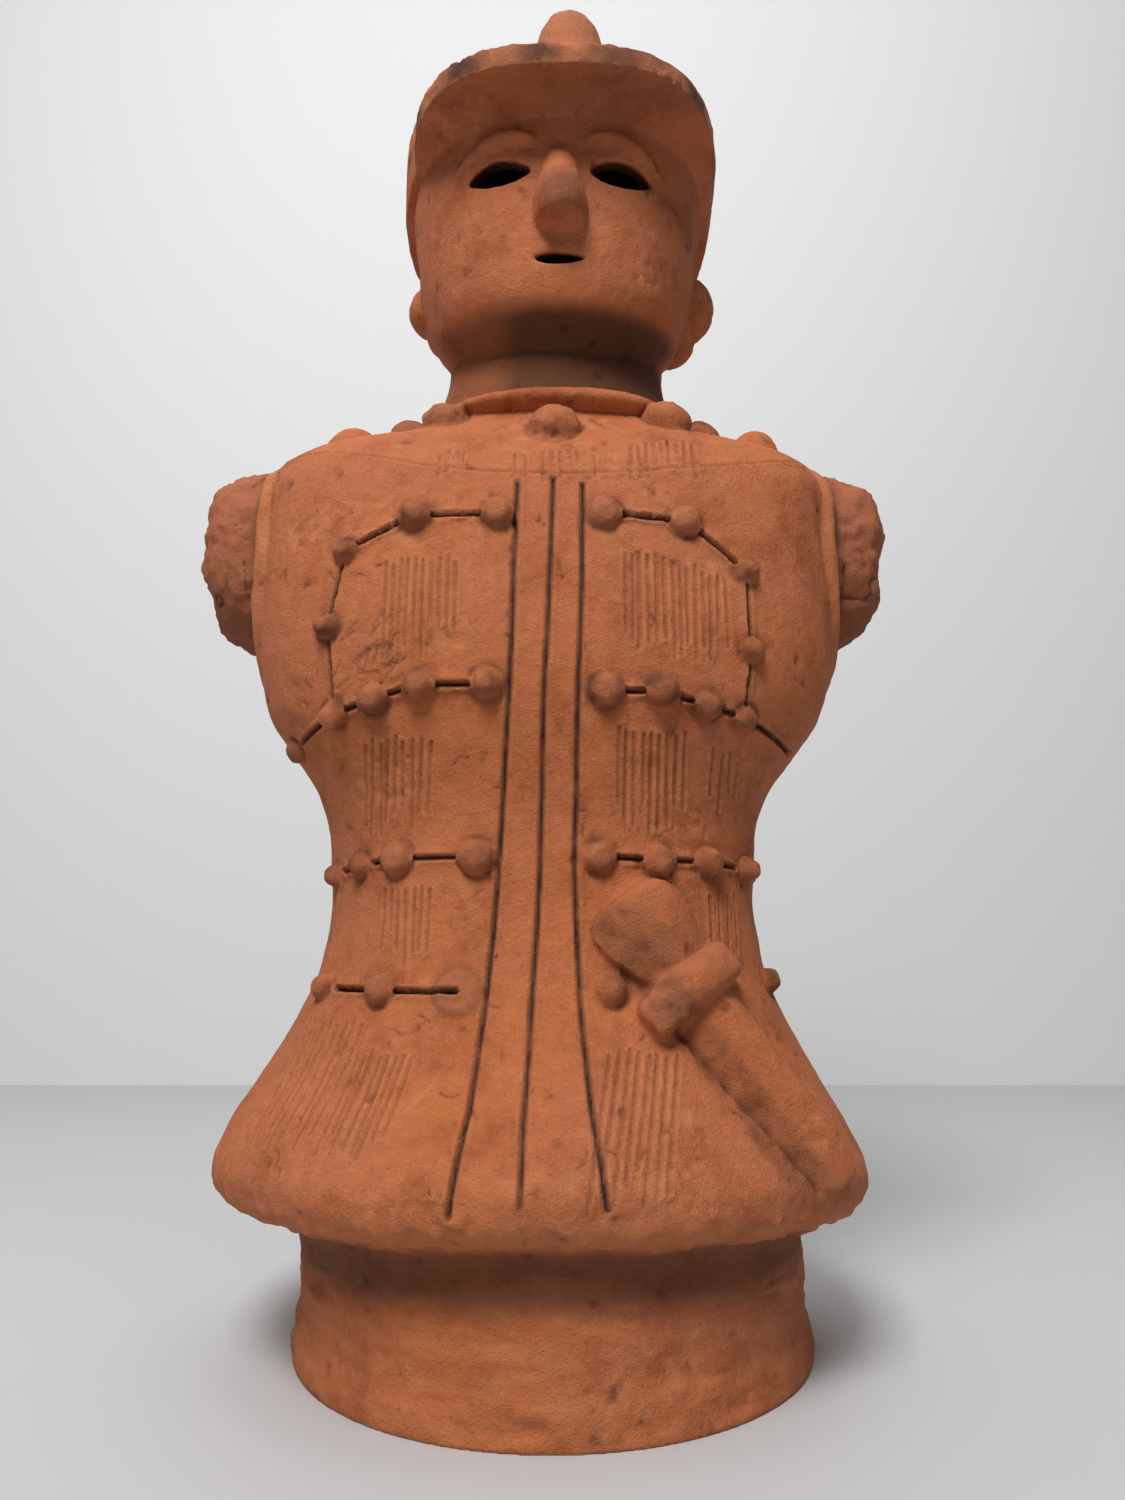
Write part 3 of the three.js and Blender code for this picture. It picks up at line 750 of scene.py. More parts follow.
def brow_part(side):
    """A low ridge over the eye."""
    part = ball_part((0, 0, 0), (1, 1, 1), sides=16, rings=24)

    def rule(ball):
        share = (ball[:, 2] + 1) / 2
        x = FACE["x"] + side * (12 + 41 * share)
        z = FACE["brow"] - 2 + 6 * np.sin(math.pi * (0.12 + 0.78 * share)) - 9 * share**2
        places = HEAD.front(x, z)
        places[:, 2] += 4.4 * ball[:, 0]
        places[:, 1] += 5.2 * ball[:, 1]
        return places

    spread(rule, part.verts)
    return part


def nose_part():
    """A wedge that widens and stands further out towards its rounded base."""
    part = ball_part((0, 0, 0), (1, 1, 1), sides=24, rings=24)
    base, height = FACE["chin"] + FACE_THIRD - 3, 46

    def rule(ball):
        down = (1 - ball[:, 2]) / 2
        z = base + height * (1 - down)
        places = HEAD.front(np.full(len(z), float(FACE["x"])), z)
        # The rings near both ends are widened, which squares the wedge.
        fuller = np.clip(np.hypot(ball[:, 0], ball[:, 1]), 0.01, 1) ** -0.7
        places[:, 0] += (7.5 + 8 * down) * ball[:, 0] * fuller
        places[:, 1] += 2 + (4 + 24 * down) * ball[:, 1] * fuller
        return places

    spread(rule, part.verts)
    return part


def almond_cutter(x, z, length, height, tilt, droop):
    """A blade that cuts an almond-shaped hole into the face from the front."""
    part = bmesh.new()
    made = bmesh.ops.create_circle(part, cap_ends=True, segments=40, radius=1)
    for vert in made["verts"]:
        across, up = vert.co.x, vert.co.y
        share = 1 - droop if up > 0 else droop
        # A circle's height raised to a power draws the ends out to points.
        lens = math.copysign(abs(up) ** 1.5, up) * height * 2 * share
        flat = Vector((across * length / 2, 0, lens / 1.6))
        start = Vector((x, CUT_START, z - CUT_TO_FACE * CUT_RISE))
        vert.co = Matrix.Rotation(tilt, 3, "Y") @ flat + start
    bmesh.ops.recalc_face_normals(part, faces=part.faces)
    pushed = bmesh.ops.extrude_face_region(part, geom=part.faces[:])
    moved = [v for v in pushed["geom"] if isinstance(v, bmesh.types.BMVert)]
    bmesh.ops.translate(part, vec=(0, CUT_LENGTH, CUT_LENGTH * CUT_RISE), verts=moved)
    return part


def face_cutters():
    """The eyes are a fifth of the face's width, a fifth apart, and the mouth is in the lowest third."""
    fifth = 2 * FACE["half_width"] / 5
    eye_height = FACE["brow"] - 0.42 * FACE_THIRD
    mouth_height = FACE["chin"] + 0.6 * FACE_THIRD
    yield almond_cutter(FACE["x"] - fifth, eye_height, 32, 11, -0.16, 0.36)
    yield almond_cutter(FACE["x"] + fifth, eye_height, 32, 11, 0.16, 0.36)
    yield almond_cutter(FACE["x"], mouth_height, 27, 5.5, 0, 0.5)


# ---- working the surface ----


class Surface:
    """The dense clay surface, the relief worked into it in mm, and its masks from 0 to 1."""

    def __init__(self, places):
        self.places = places
        self.order = np.argsort(places[:, 2])
        self.sorted_z = places[self.order, 2]
        self.relief = np.zeros(len(places))
        self.masks = {name: np.zeros(len(places)) for name in MASKS}
        self.masks["outer"][:] = 1

    def within(self, low, high):
        """The vertices inside a box."""
        first, last = np.searchsorted(self.sorted_z, (low[2], high[2]))
        slab = self.order[first:last]
        near = self.places[slab]
        return slab[np.all((near > low) & (near < high), axis=1)]

    def raise_mask(self, name, chosen, value):
        self.masks[name][chosen] = np.maximum(self.masks[name][chosen], np.clip(value, 0, 1))

    def near_line(self, points, reach):
        """The vertices within reach of a line through points, and how far off it they are."""
        chosen = self.within(points.min(0) - reach, points.max(0) + reach)
        places = self.places[chosen]
        nearest = np.full(len(chosen), np.inf)
        for start, end in zip(points[:-1], points[1:]):
            way = end - start
            share = np.clip((places - start) @ way / max(way @ way, 1e-9), 0, 1)
            away = np.linalg.norm(places - start - share[:, None] * way, axis=1)
            nearest = np.minimum(nearest, away)
        return chosen, nearest

    def incise(self, points, depth, half_width, lip=0.25, dirt_and_shade=1.0, pale=0.0, painted_lip_highlight=0.0):
        """Draws a tool along a line: a groove with the clay pushed up on both sides."""
        chosen, away = self.near_line(np.asarray(points, float), 4 * half_width)
        if not len(chosen):
            return
        uneven = 1 + 0.25 * noise(self.places[chosen], 8, 3)
        cut = np.exp(-((away / half_width) ** 2)) * uneven
        pushed = np.exp(-(((away - 2 * half_width) / (0.7 * half_width)) ** 2))
        self.relief[chosen] += depth * (lip * pushed - cut)
        patchy = 0.9 + 0.3 * noise(self.places[chosen], 5, 4)
        # The groove is painted dark, and pale where the tool asks for it. The clay pushed up beside it
        # gets a painted highlight.
        self.raise_mask("dirt_and_shade", chosen, 1.3 * dirt_and_shade * patchy * np.exp(-((away / half_width) ** 2)))
        pale_and_lip_highlight = pale * np.exp(-((away / half_width) ** 2)) + painted_lip_highlight * pushed
        self.raise_mask("pale", chosen, pale_and_lip_highlight * (0.7 + 0.5 * noise(self.places[chosen], 9, 7)))

    def dent(self, place, radius, depth):
        """A small pit, painted darker the deeper it is."""
        chosen = self.within(place - 2.5 * radius, place + 2.5 * radius)
        away = np.linalg.norm(self.places[chosen] - place, axis=1) / radius
        away = away * (1 + 0.8 * noise(self.places[chosen], 2.2, 6))
        pit = np.exp(-(away**2))
        self.relief[chosen] -= depth * pit
        self.raise_mask("dirt_and_shade", chosen, 0.6 * depth * pit)

    def press_round(self, place, radius, worn):
        """The crease round a pressed-on ball with painted shade in it, and the wear on top of it."""
        place = np.array(place)
        chosen = self.within(place - 2 * radius, place + 2 * radius)
        away = np.linalg.norm(self.places[chosen] - place, axis=1)
        crease = np.exp(-(((away - 1.1 * radius) / 1.1) ** 2))
        patchy = 0.6 + 0.6 * noise(self.places[chosen], 7, 5)
        self.relief[chosen] -= 0.7 * crease
        # Painted shade in the crease where the ball meets the wall.
        self.raise_mask("dirt_and_shade", chosen, 0.7 * crease * patchy)
        top = 1 - smoothstep(0.85, 1.1, away / radius)
        lumpy = 0.55 * noise(self.places[chosen], 5, 18) + 0.4 * noise(self.places[chosen], 2.6, 19)
        self.relief[chosen] += top * lumpy
        self.raise_mask("worn", chosen, worn * top * (0.8 + 0.4 * noise(self.places[chosen], 6, 20)))


def on_front(line, spacing=3.0, wander=0.0):
    """A line of sideways places and heights, laid on the front of the body in short steps."""
    line = np.array(line, float)
    steps = [np.linalg.norm(b - a) for a, b in zip(line[:-1], line[1:])]
    at = np.concatenate([[0], np.cumsum(steps)])
    along = np.linspace(0, at[-1], max(2, int(at[-1] / spacing)))
    x, z = np.interp(along, at, line[:, 0]), np.interp(along, at, line[:, 1])
    x = x + wander * noise(np.stack([x, 0 * x, z], axis=1), 26, 8)
    return lift_hem(BODY.front(x, z))


def cut_rows(surface, sizes):
    """Grooves from stud to stud, which stop at the edge of each stud."""
    for row in STUD_ROWS.values():
        for start, end in zip(row[:-1], row[1:]):
            start, end = np.array(start, float), np.array(end, float)
            way = (end - start) / np.linalg.norm(end - start)
            clear = 0.9 * stud_size((start[0], 0, start[1]), sizes)
            first = start if tuple(start) in LOST_STUDS else start + way * clear
            last = end if tuple(end) in LOST_STUDS else end - way * clear
            upright = abs(way[1]) > 0.8
            depth = sizes.groove_depth * (0.7 if upright else 1)
            tool = UPRIGHT_TOOL if upright else ROW_TOOL
            surface.incise(on_front((first, last)), depth, **tool)


def comb_strokes(pick):
    """Every stroke of the comb, as a line on the body."""
    for first, last, top, bottom, slant, drop in COMBED:
        x = first
        while x < last:
            share = (x - first) / (last - first)
            start = top + drop * share + pick.uniform(-2.5, 1.5)
            end = bottom + drop * share * 0.4 + pick.uniform(-7, 9)
            lean = slant * (start - end) * (-1 if first < 0 else 1)
            wander = pick.uniform(-0.8, 0.8)
            if end < start - 4:
                yield on_front(((x, start), (x + lean + wander, end)), 5.0)
            x += pick.uniform(2.9, 4.6)


def build_by_hand(surface, pick):
    """The unevenness of hand building, wiping marks, scuffs, pits and drying cracks."""
    places = surface.places
    z = places[:, 2]
    surface.relief += 1.0 * noise(places, 62, 11) + 0.45 * noise(places, 24, 12)
    surface.relief += 0.26 * noise(places, 9, 13) + 0.13 * noise(places, 4, 16)
    wiped_round = places * (0.25, 0.25, 1)
    on_ring = 1 - smoothstep(50, 58, z)
    surface.relief += on_ring * (0.45 * noise(wiped_round, 2.4, 14) + 0.7 * noise(wiped_round, 7, 17))
    streaks = smoothstep(0.15, 0.6, noise(wiped_round, 3.4, 21))
    surface.raise_mask("pale", slice(None), 0.5 * on_ring * streaks)
    wiped_down = places * (1, 1, 0.2)
    surface.relief += 0.16 * noise(wiped_down, 3, 15) * smoothstep(60, 80, z)
    scuffed = smoothstep(0.35, 0.6, noise(places, 30, 22))
    scuffed = scuffed * smoothstep(0.1, 0.5, noise(places, 3.2, 23))
    surface.relief -= 0.5 * scuffed
    surface.raise_mask("pale", slice(None), 0.55 * scuffed)
    for _ in range(PITS):
        # Most pits are as fine as grit, and a few are large.
        size = pick.uniform(0, 1) ** 5
        surface.dent(places[pick.randrange(len(places))], 0.5 + 1.3 * size, 0.3 + 0.7 * size)
    for _ in range(FINE_CRACKS):
        fine_crack(surface, pick)


def draw_lines(surface, sizes, pick):
    """Every line drawn in the wet clay: the opening, the rows, the yoke, the comb and scratches."""
    for line in FRONT_LINES:
        surface.incise(on_front(line, 2.0, 0.5), sizes.groove_depth, **FRONT_TOOL)
    cut_rows(surface, sizes)
    surface.incise(on_front(YOKE_EDGE), 0.7, **YOKE_TOOL)
    jacket_step(surface)
    for stroke in comb_strokes(pick):
        surface.incise(stroke, sizes.comb_depth, **COMB_TOOL)
    for line in SCRATCHES:
        surface.incise(on_front(line), 0.35, **SCRATCH_TOOL)
    rub_oval(surface, pick)

    # The groove along the lower side of the scabbard, with painted shadow in it.
    edge = []
    for along in (60, 105, 150):
        taper = 1.12 - 0.2 * along / SCABBARD["end"]
        edge.append(sword_place(along, -SCABBARD["half"] * taper))
    surface.incise(on_front(edge), 1.4, **SWORD_CREASE)


def work_clay(surface, sizes, pick):
    """Everything that a tool, a finger or a knock left in the surface, and the painted shade and
    highlights that go with it.
    """
    build_by_hand(surface, pick)
    draw_lines(surface, sizes, pick)
    for place, _ in stud_frames():
        surface.press_round(place, stud_size(place, sizes), pick.uniform(0.2, 0.9))
    for place, _ in bead_places():
        surface.press_round(place, BEADS["size"][0], pick.uniform(0.3, 0.8))
    break_arms_with_painted_light(surface)
    crumble_hem_with_painted_light(surface)
    lost_stud_scar(surface)
    wear_and_shade_helmet(surface)
    paint_shade_on_head(surface)
    wear_and_shade_sword(surface)
    # The underside of the foot stays flat.
    surface.relief *= smoothstep(1, 6, surface.places[:, 2])


def fine_crack(surface, pick):
    """A short wandering crack that opened while the clay dried."""
    x, z = pick.uniform(-125, 120), pick.uniform(75, 430)
    line = [(x, z)]
    way = pick.uniform(0, math.tau)
    for _ in range(pick.randrange(2, 5)):
        way += pick.uniform(-0.9, 0.9)
        x, z = x + 2.2 * math.cos(way), z + 2.2 * math.sin(way)
        line.append((x, z))
    surface.incise(on_front(line, 1.5), 0.45, **CRACK)


def jacket_step(surface):
    """Below its upper edge the jacket's front stands a little proud of the shoulders."""
    x, y, z = surface.places.T
    edge = np.interp(x, *np.array(YOKE_EDGE).T)
    below = (1 - smoothstep(-1.5, 1, z - edge)) * smoothstep(edge - 34, edge - 4, z)
    surface.relief += 1.1 * below * (y < 0)


def rub_oval(surface, pick):
    """An oval mark with rough scratches round it."""
    oval = OVAL_MARK
    for first, last, out in ((0.1, 3.4, 1.0), (3.6, 5.9, 1.0), (0.6, 2.6, 1.25)):
        turn = np.linspace(first, last, 16)
        along = out * oval["half_length"] * np.cos(turn)
        up = out * oval["half_height"] * np.sin(turn)
        x = oval["x"] + along * math.cos(oval["tilt"]) - up * math.sin(oval["tilt"])
        z = oval["z"] + along * math.sin(oval["tilt"]) + up * math.cos(oval["tilt"])
        surface.incise(on_front(np.stack([x, z], axis=1)), 0.5, **OVAL_TOOL)
    for _ in range(STRAWS_ROUND_OVAL):
        x, z = oval["x"] + pick.uniform(-20, 12), oval["z"] + pick.uniform(-16, 18)
        end = (x + pick.uniform(2, 7), z + pick.uniform(3, 8))
        surface.incise(on_front(((x, z), end)), 0.45, **STRAW)


def break_arms_with_painted_light(surface):
    """Rough, cracked clay where the arms broke off, painted shade round the roots of the arms and below
    the breaks, and a painted highlight on the armhole's lip.
    """
    x, y, z = surface.places.T
    places = surface.places
    middle = BODY.at(ARM["z"])[3][0]
    out = np.abs(x - middle)
    round_arm = np.hypot((y - ARM["y"]) / BREAK["reach_y"], (z - ARM["z"]) / BREAK["reach_z"])
    broken = smoothstep(BREAK["out"], BREAK["out"] + 7, out)
    broken = broken * (1 - smoothstep(0.95, 1.05, round_arm))
    rough = 1.9 * noise(places, 17, 31) + 1.2 * noise(places, 7, 32) + 0.8 * noise(places, 3, 33)
    crack = np.exp(-((noise(places, 19, 34) / 0.028) ** 2))
    crack = crack * smoothstep(-0.1, 0.3, noise(places, 24, 37))
    surface.relief += broken * (rough - 1.0 * crack)
    surface.raise_mask("broken", slice(None), broken)
    surface.raise_mask("dirt_and_shade", slice(None), 0.75 * broken * crack)
    # Painted shade where the broken arm meets the body.
    root = np.exp(-(((out - BREAK["out"]) / 5) ** 2)) * (1 - smoothstep(0.8, 0.88, round_arm))
    surface.raise_mask("soot_and_shade", slice(None), 0.9 * root)
    surface.raise_mask("dirt_and_shade", slice(None), 0.5 * root * (0.7 + 0.5 * noise(places, 8, 35)))
    # Painted shade on the lower part of the break.
    below = broken * smoothstep(5, 45, ARM["z"] - z)
    surface.raise_mask("soot_and_shade", slice(None), 0.5 * below)
    # Painted highlight on the armhole's lip.
    lip = np.hypot((y - ARMHOLE["y"]) / ARMHOLE["radius_y"], (z - ARMHOLE["z"]) / ARMHOLE["radius_z"])
    lip = np.exp(-(((lip - 1.08) / 0.06) ** 2)) * smoothstep(120, 132, out)
    surface.raise_mask("pale", slice(None), 0.65 * lip * (0.7 + 0.5 * noise(places, 12, 36)))


def crumble_hem_with_painted_light(surface):
    """A crumbly lower edge on the skirt with a painted highlight along it and painted shade under it,
    and a few chips out of the foot.
    """
    x, y, z = surface.places.T
    places = surface.places
    height = z - hem_rise(x, y)
    hem = smoothstep(58, 64, height) * (1 - smoothstep(72, 84, height))
    crumbs = np.maximum(noise(places, 4.5, 42), 0)
    surface.relief += hem * (1.1 * noise(places, 16, 41) + 1.5 * crumbs)
    # Painted highlight along the hem's lower edge.
    painted_hem_highlight = np.exp(-(((height - HEM_EDGE - 3 * noise(places, 20, 43)) / 4.5) ** 2))
    surface.raise_mask("pale", slice(None), painted_hem_highlight * (0.45 + 0.5 * noise(places, 9, 44)))
    above = np.exp(-(((height - HEM_EDGE - 15) / 8) ** 2)) * smoothstep(0.1, 0.5, noise(places, 5, 46))
    surface.raise_mask("pale", slice(None), 0.6 * above)
    # Painted shade on the top of the foot, under the hem's overhang.
    shade = smoothstep(38, 54, z) * (1 - smoothstep(60, 65, height))
    surface.raise_mask("soot_and_shade", slice(None), 0.75 * shade)
    chips = smoothstep(0.45, 0.7, noise(places, 22, 45)) * (1 - smoothstep(6, 14, z))
    surface.relief -= 1.5 * chips


def lost_stud_scar(surface):
    """The rough round scar where a stud came off the skirt."""
    place, _ = front_frame(BODY, *LOST_STUDS[2])
    centre = np.array(place)
    chosen = surface.within(centre - 14, centre + 14)
    away = np.linalg.norm(surface.places[chosen] - centre, axis=1)
    scar = 1 - smoothstep(8, 11, away)
    surface.relief[chosen] += scar * (1.3 + 0.9 * noise(surface.places[chosen], 4, 51))
    surface.raise_mask("broken", chosen, 0.9 * scar)
    surface.raise_mask("dirt_and_shade", chosen, 0.4 * np.exp(-(((away - 10.5) / 1.2) ** 2)))


def wear_and_shade_helmet(surface):
    """Wear and smoke stains along the visor's edge, painted shade under it and a worn knob."""
    x, y, z = surface.places.T
    places = surface.places
    across = (x - VISOR["x"]) / VISOR["half_width"]
    along = (y - VISOR["y"]) / VISOR["reach"]
    edge = smoothstep(0.96, 1.0, np.hypot(across, along)) * (y < 0)
    edge = edge * smoothstep(584, 588, z) * (1 - smoothstep(600, 604, z))
    surface.raise_mask("worn", slice(None), edge * (0.55 + 0.45 * noise(places, 14, 61)))
    surface.raise_mask("soot_and_shade", slice(None), edge * smoothstep(-0.3, 0.5, noise(places, 17, 62)))
    # Painted shade under the front of the visor.
    under = smoothstep(0, 30, -y - 70) * smoothstep(578, 583, z) * (1 - smoothstep(586, 589, z))
    surface.raise_mask("soot_and_shade", slice(None), 0.4 * under * (0.8 + 0.4 * noise(places, 16, 64)))
    knob = smoothstep(672, 690, z)
    surface.raise_mask("worn", slice(None), knob * (0.75 + 0.35 * noise(places, 12, 63)))


def paint_shade_on_head(surface):
    """Painted shade inside the cut eyes and mouth, on the neck under the jaw and on the lower nose."""
    x, y, z = surface.places.T
    wide, deep, square, middle_x, middle_y = HEAD.at(z)
    share = (np.abs(x - middle_x) / wide) ** square + (np.abs(y - middle_y) / deep) ** square
    # Painted shade on the inside wall, seen through the eyes and mouth.
    inside = (1 - smoothstep(0.86, 0.95, share)) * (y < -50) * (z > 500) * (z < 580)
    surface.raise_mask("soot_and_shade", slice(None), inside)
    # Painted shade on the neck under the jaw, stronger towards the figure's left.
    jaw = JAW_FRONT["z"] + JAW_SLOPE * (y - JAW_FRONT["y"])
    neck = smoothstep(450, 458, z) * (1 - smoothstep(jaw - 4, jaw + 4, z)) * smoothstep(0, 40, -y)
    side = 0.5 + 0.7 * smoothstep(-35, 0, x)
    surface.raise_mask("soot_and_shade", slice(None), 1.2 * neck * side)
    # Painted shade at the bottom of the nose.
    nose = np.exp(-(((x - FACE["x"]) / 12) ** 2 + ((z - 535) / 12) ** 2)) * smoothstep(92, 100, -y)
    surface.raise_mask("soot_and_shade", slice(None), 0.7 * nose)


def wear_and_shade_sword(surface):
    """A grey-brown pommel, and painted shade on the pitted lower side all along the sword."""
    x, y, z = surface.places.T
    places = surface.places
    (x0, z0), (x1, z1) = SWORD["start"], SWORD["end"]
    length = math.hypot(x1 - x0, z1 - z0)
    along = ((x - x0) * (x1 - x0) + (z - z0) * (z1 - z0)) / length
    across = ((z - z0) * (x1 - x0) - (x - x0) * (z1 - z0)) / length
    on_sword = (y < 0) * (1 - smoothstep(148, 156, along))
    pommel = on_sword * smoothstep(0, 6, along) * (1 - smoothstep(50, 62, along))
    pommel = pommel * (1 - smoothstep(17, 24, np.abs(across)))
    surface.raise_mask("worn", slice(None), 0.9 * pommel * (0.55 + 0.45 * noise(places, 14, 61)))
    # Painted shade on the lower facet of the sword, which is also pitted.
    under = on_sword * smoothstep(0, 5, along)
    under = under * smoothstep(0, -2, across) * smoothstep(-19, -16, across)
    surface.raise_mask("soot_and_shade", slice(None), under * (0.3 + 0.3 * noise(places, 6, 65)))
    surface.relief += under * (0.5 * noise(places, 4, 66) - 0.6 * np.maximum(noise(places, 2.6, 67), 0))


# ---- fusing, hollowing and thinning the mesh ----


def object_of(mesh_or_bmesh, name):
    """A new object at the origin, from a mesh or a bmesh."""
    mesh = mesh_or_bmesh
    if isinstance(mesh_or_bmesh, bmesh.types.BMesh):
        mesh = bpy.data.meshes.new(name)
        mesh_or_bmesh.to_mesh(mesh)
        mesh_or_bmesh.free()
    piece = bpy.data.objects.new(name, mesh)
    bpy.context.scene.collection.objects.link(piece)
    return piece


def apply_modifiers(piece):
    """Makes a piece's modifiers part of its mesh."""
    depsgraph = bpy.context.evaluated_depsgraph_get()
    mesh = bpy.data.meshes.new_from_object(piece.evaluated_get(depsgraph))
    old = piece.data
    piece.modifiers.clear()
    piece.data = mesh
    bpy.data.meshes.remove(old)


def cut_away(piece, cutter, solver):
    """Cuts one object out of another and removes the cutter."""
    modifier = piece.modifiers.new("cut", "BOOLEAN")
    modifier.operation = "DIFFERENCE"
    modifier.object = cutter
    modifier.solver = solver
    apply_modifiers(piece)
    mesh = cutter.data
    bpy.data.objects.remove(cutter)
    bpy.data.meshes.remove(mesh)


def head_piece():
    """The head's wall with the eyes and mouth already cut into it."""
    part = form_part(HEAD, 2.5, 128, move=slope_jaw)
    bmesh.ops.recalc_face_normals(part, faces=part.faces)
    head = object_of(part, "head")
    for cutter in face_cutters():
        bmesh.ops.recalc_face_normals(cutter, faces=cutter.faces)
        cut_away(head, object_of(cutter, "cutter"), "EXACT")
    return head


def raised_clay(sizes):
    """The whole outer form as overlapping closed surfaces, not yet fused."""
    pick = random.Random(5)
    clay = bmesh.new()
    add_part(clay, form_part(BODY, 1.8, 160, move=lift_hem))
    head = head_piece()
    clay.from_mesh(head.data)
    mesh = head.data
    bpy.data.objects.remove(head)
    bpy.data.meshes.remove(mesh)
    helmet = form_part(
        HEAD, 3, 128, HELMET["rim"], HELMET["top"], -HELMET["overhang"], slope_helmet
    )
    add_part(clay, helmet)
    add_part(clay, visor_part())
    add_part(clay, knob_part())
    for place, size in HAIR_KNOTS + SHOULDER_KNOTS:
        add_part(clay, ball_part(place, size))
    for side in (-1, 1):
        add_part(clay, brow_part(side))
    add_part(clay, nose_part())
    add_arms(clay)
    add_part(clay, ring_part(96, 14, collar_rule))
    add_beads(clay, pick)
    add_sword(clay)
    add_studs(clay, sizes, pick)
    return object_of(clay, NODE)


def fuse(piece, voxel):
    """Joins the overlapping lumps into one skin and softens the joints as a wet finger does."""
    remesh = piece.modifiers.new("fuse", "REMESH")
    remesh.mode = "VOXEL"
    remesh.voxel_size = voxel
    soften = piece.modifiers.new("soften", "SMOOTH")
    soften.factor = 0.5
    soften.iterations = 4
    apply_modifiers(piece)


def vertex_array(mesh, what="co"):
    values = np.empty(len(mesh.vertices) * 3, np.float32)
    mesh.vertices.foreach_get(what, values)
    return values.reshape(-1, 3).astype(float)


def write_marks(piece, surface):
    """Moves the surface by its relief and keeps the masks as attributes of its vertices."""
    mesh = piece.data
    normals = vertex_array(mesh, "normal")
    places = surface.places + normals * surface.relief[:, None]
    places[:, 2] = np.maximum(places[:, 2], 0)
    mesh.vertices.foreach_set("co", places.astype(np.float32).ravel())
    for name, values in surface.masks.items():
        attribute = mesh.attributes.new(name, "FLOAT", "POINT")
        attribute.data.foreach_set("value", values.astype(np.float32))
    mesh.update()


def thin_out(piece, triangles):
    """Takes triangles out of the flat stretches until the piece has about the given number."""
    piece.data.calc_loop_triangles()
    share = triangles / len(piece.data.loop_triangles)
    if share >= 1:
        return
    decimate = piece.modifiers.new("thin", "DECIMATE")
    decimate.ratio = share
    apply_modifiers(piece)


def hollow_out(piece):
    """Opens the foot and takes the inside out, through the eyes and mouth as well."""
    part = form_part(HOLLOW, 8, 64)
    bmesh.ops.recalc_face_normals(part, faces=part.faces)
    cut_away(piece, object_of(part, "hollow"), "MANIFOLD")


def place_in_frame(piece):
    """Turns millimetres from the foot's middle into metres in the row frame."""
    piece.data.transform(Matrix.Translation((FOOT_X, 0, 0)) @ Matrix.Scale(MM, 4))
    piece.data.polygons.foreach_set("use_smooth", [True] * len(piece.data.polygons))
    piece.data.update()


# ---- the clay's finish ----


class Nodes:
    """Short ways to add and link the nodes of one tree."""

    def __init__(self, tree):
        self.tree = tree

    def add(self, kind, **settings):
        node = self.tree.nodes.new(kind)
        for name, value in settings.items():
            setattr(node, name, value)
        return node

    def feed(self, node, **inputs):
        for name, value in inputs.items():
            socket = node.inputs[name.replace("_", " ")]
            if isinstance(value, bpy.types.NodeSocket):
                self.tree.links.new(value, socket)
            else:
                socket.default_value = value
        return node

    def noise(self, vector, scale, detail=4.0, roughness=0.55):
        node = self.add("ShaderNodeTexNoise")
        self.feed(node, Vector=vector, Scale=scale, Detail=detail, Roughness=roughness)
        return node.outputs["Fac"]

    def ramp(self, value, low, high):
        node = self.add("ShaderNodeMapRange", interpolation_type="SMOOTHSTEP")
        self.feed(node, Value=value, From_Min=low, From_Max=high)
        return node.outputs["Result"]

    def math(self, operation, first, second):
        node = self.add("ShaderNodeMath", operation=operation)
        for socket, value in zip(node.inputs, (first, second)):
            if isinstance(value, bpy.types.NodeSocket):
                self.tree.links.new(value, socket)
            else:
                socket.default_value = value
        return node.outputs[0]

    def mix(self, share, first, second, blend="MIX"):
        node = self.add("ShaderNodeMix", data_type="RGBA", blend_type=blend)
        sockets = (node.inputs[0], node.inputs[6], node.inputs[7])
        for socket, value in zip(sockets, (share, first, second)):
            if isinstance(value, bpy.types.NodeSocket):
                self.tree.links.new(value, socket)
            else:
                socket.default_value = value
        return node.outputs[2]

    def mask(self, name):
        return self.add("ShaderNodeAttribute", attribute_name=name).outputs["Fac"]

    def stretched(self, vector, scale):
        node = self.add("ShaderNodeMapping")
        self.feed(node, Vector=vector, Scale=scale)
        return node.outputs["Vector"]


def colour(value):
    return (*value, 1.0)


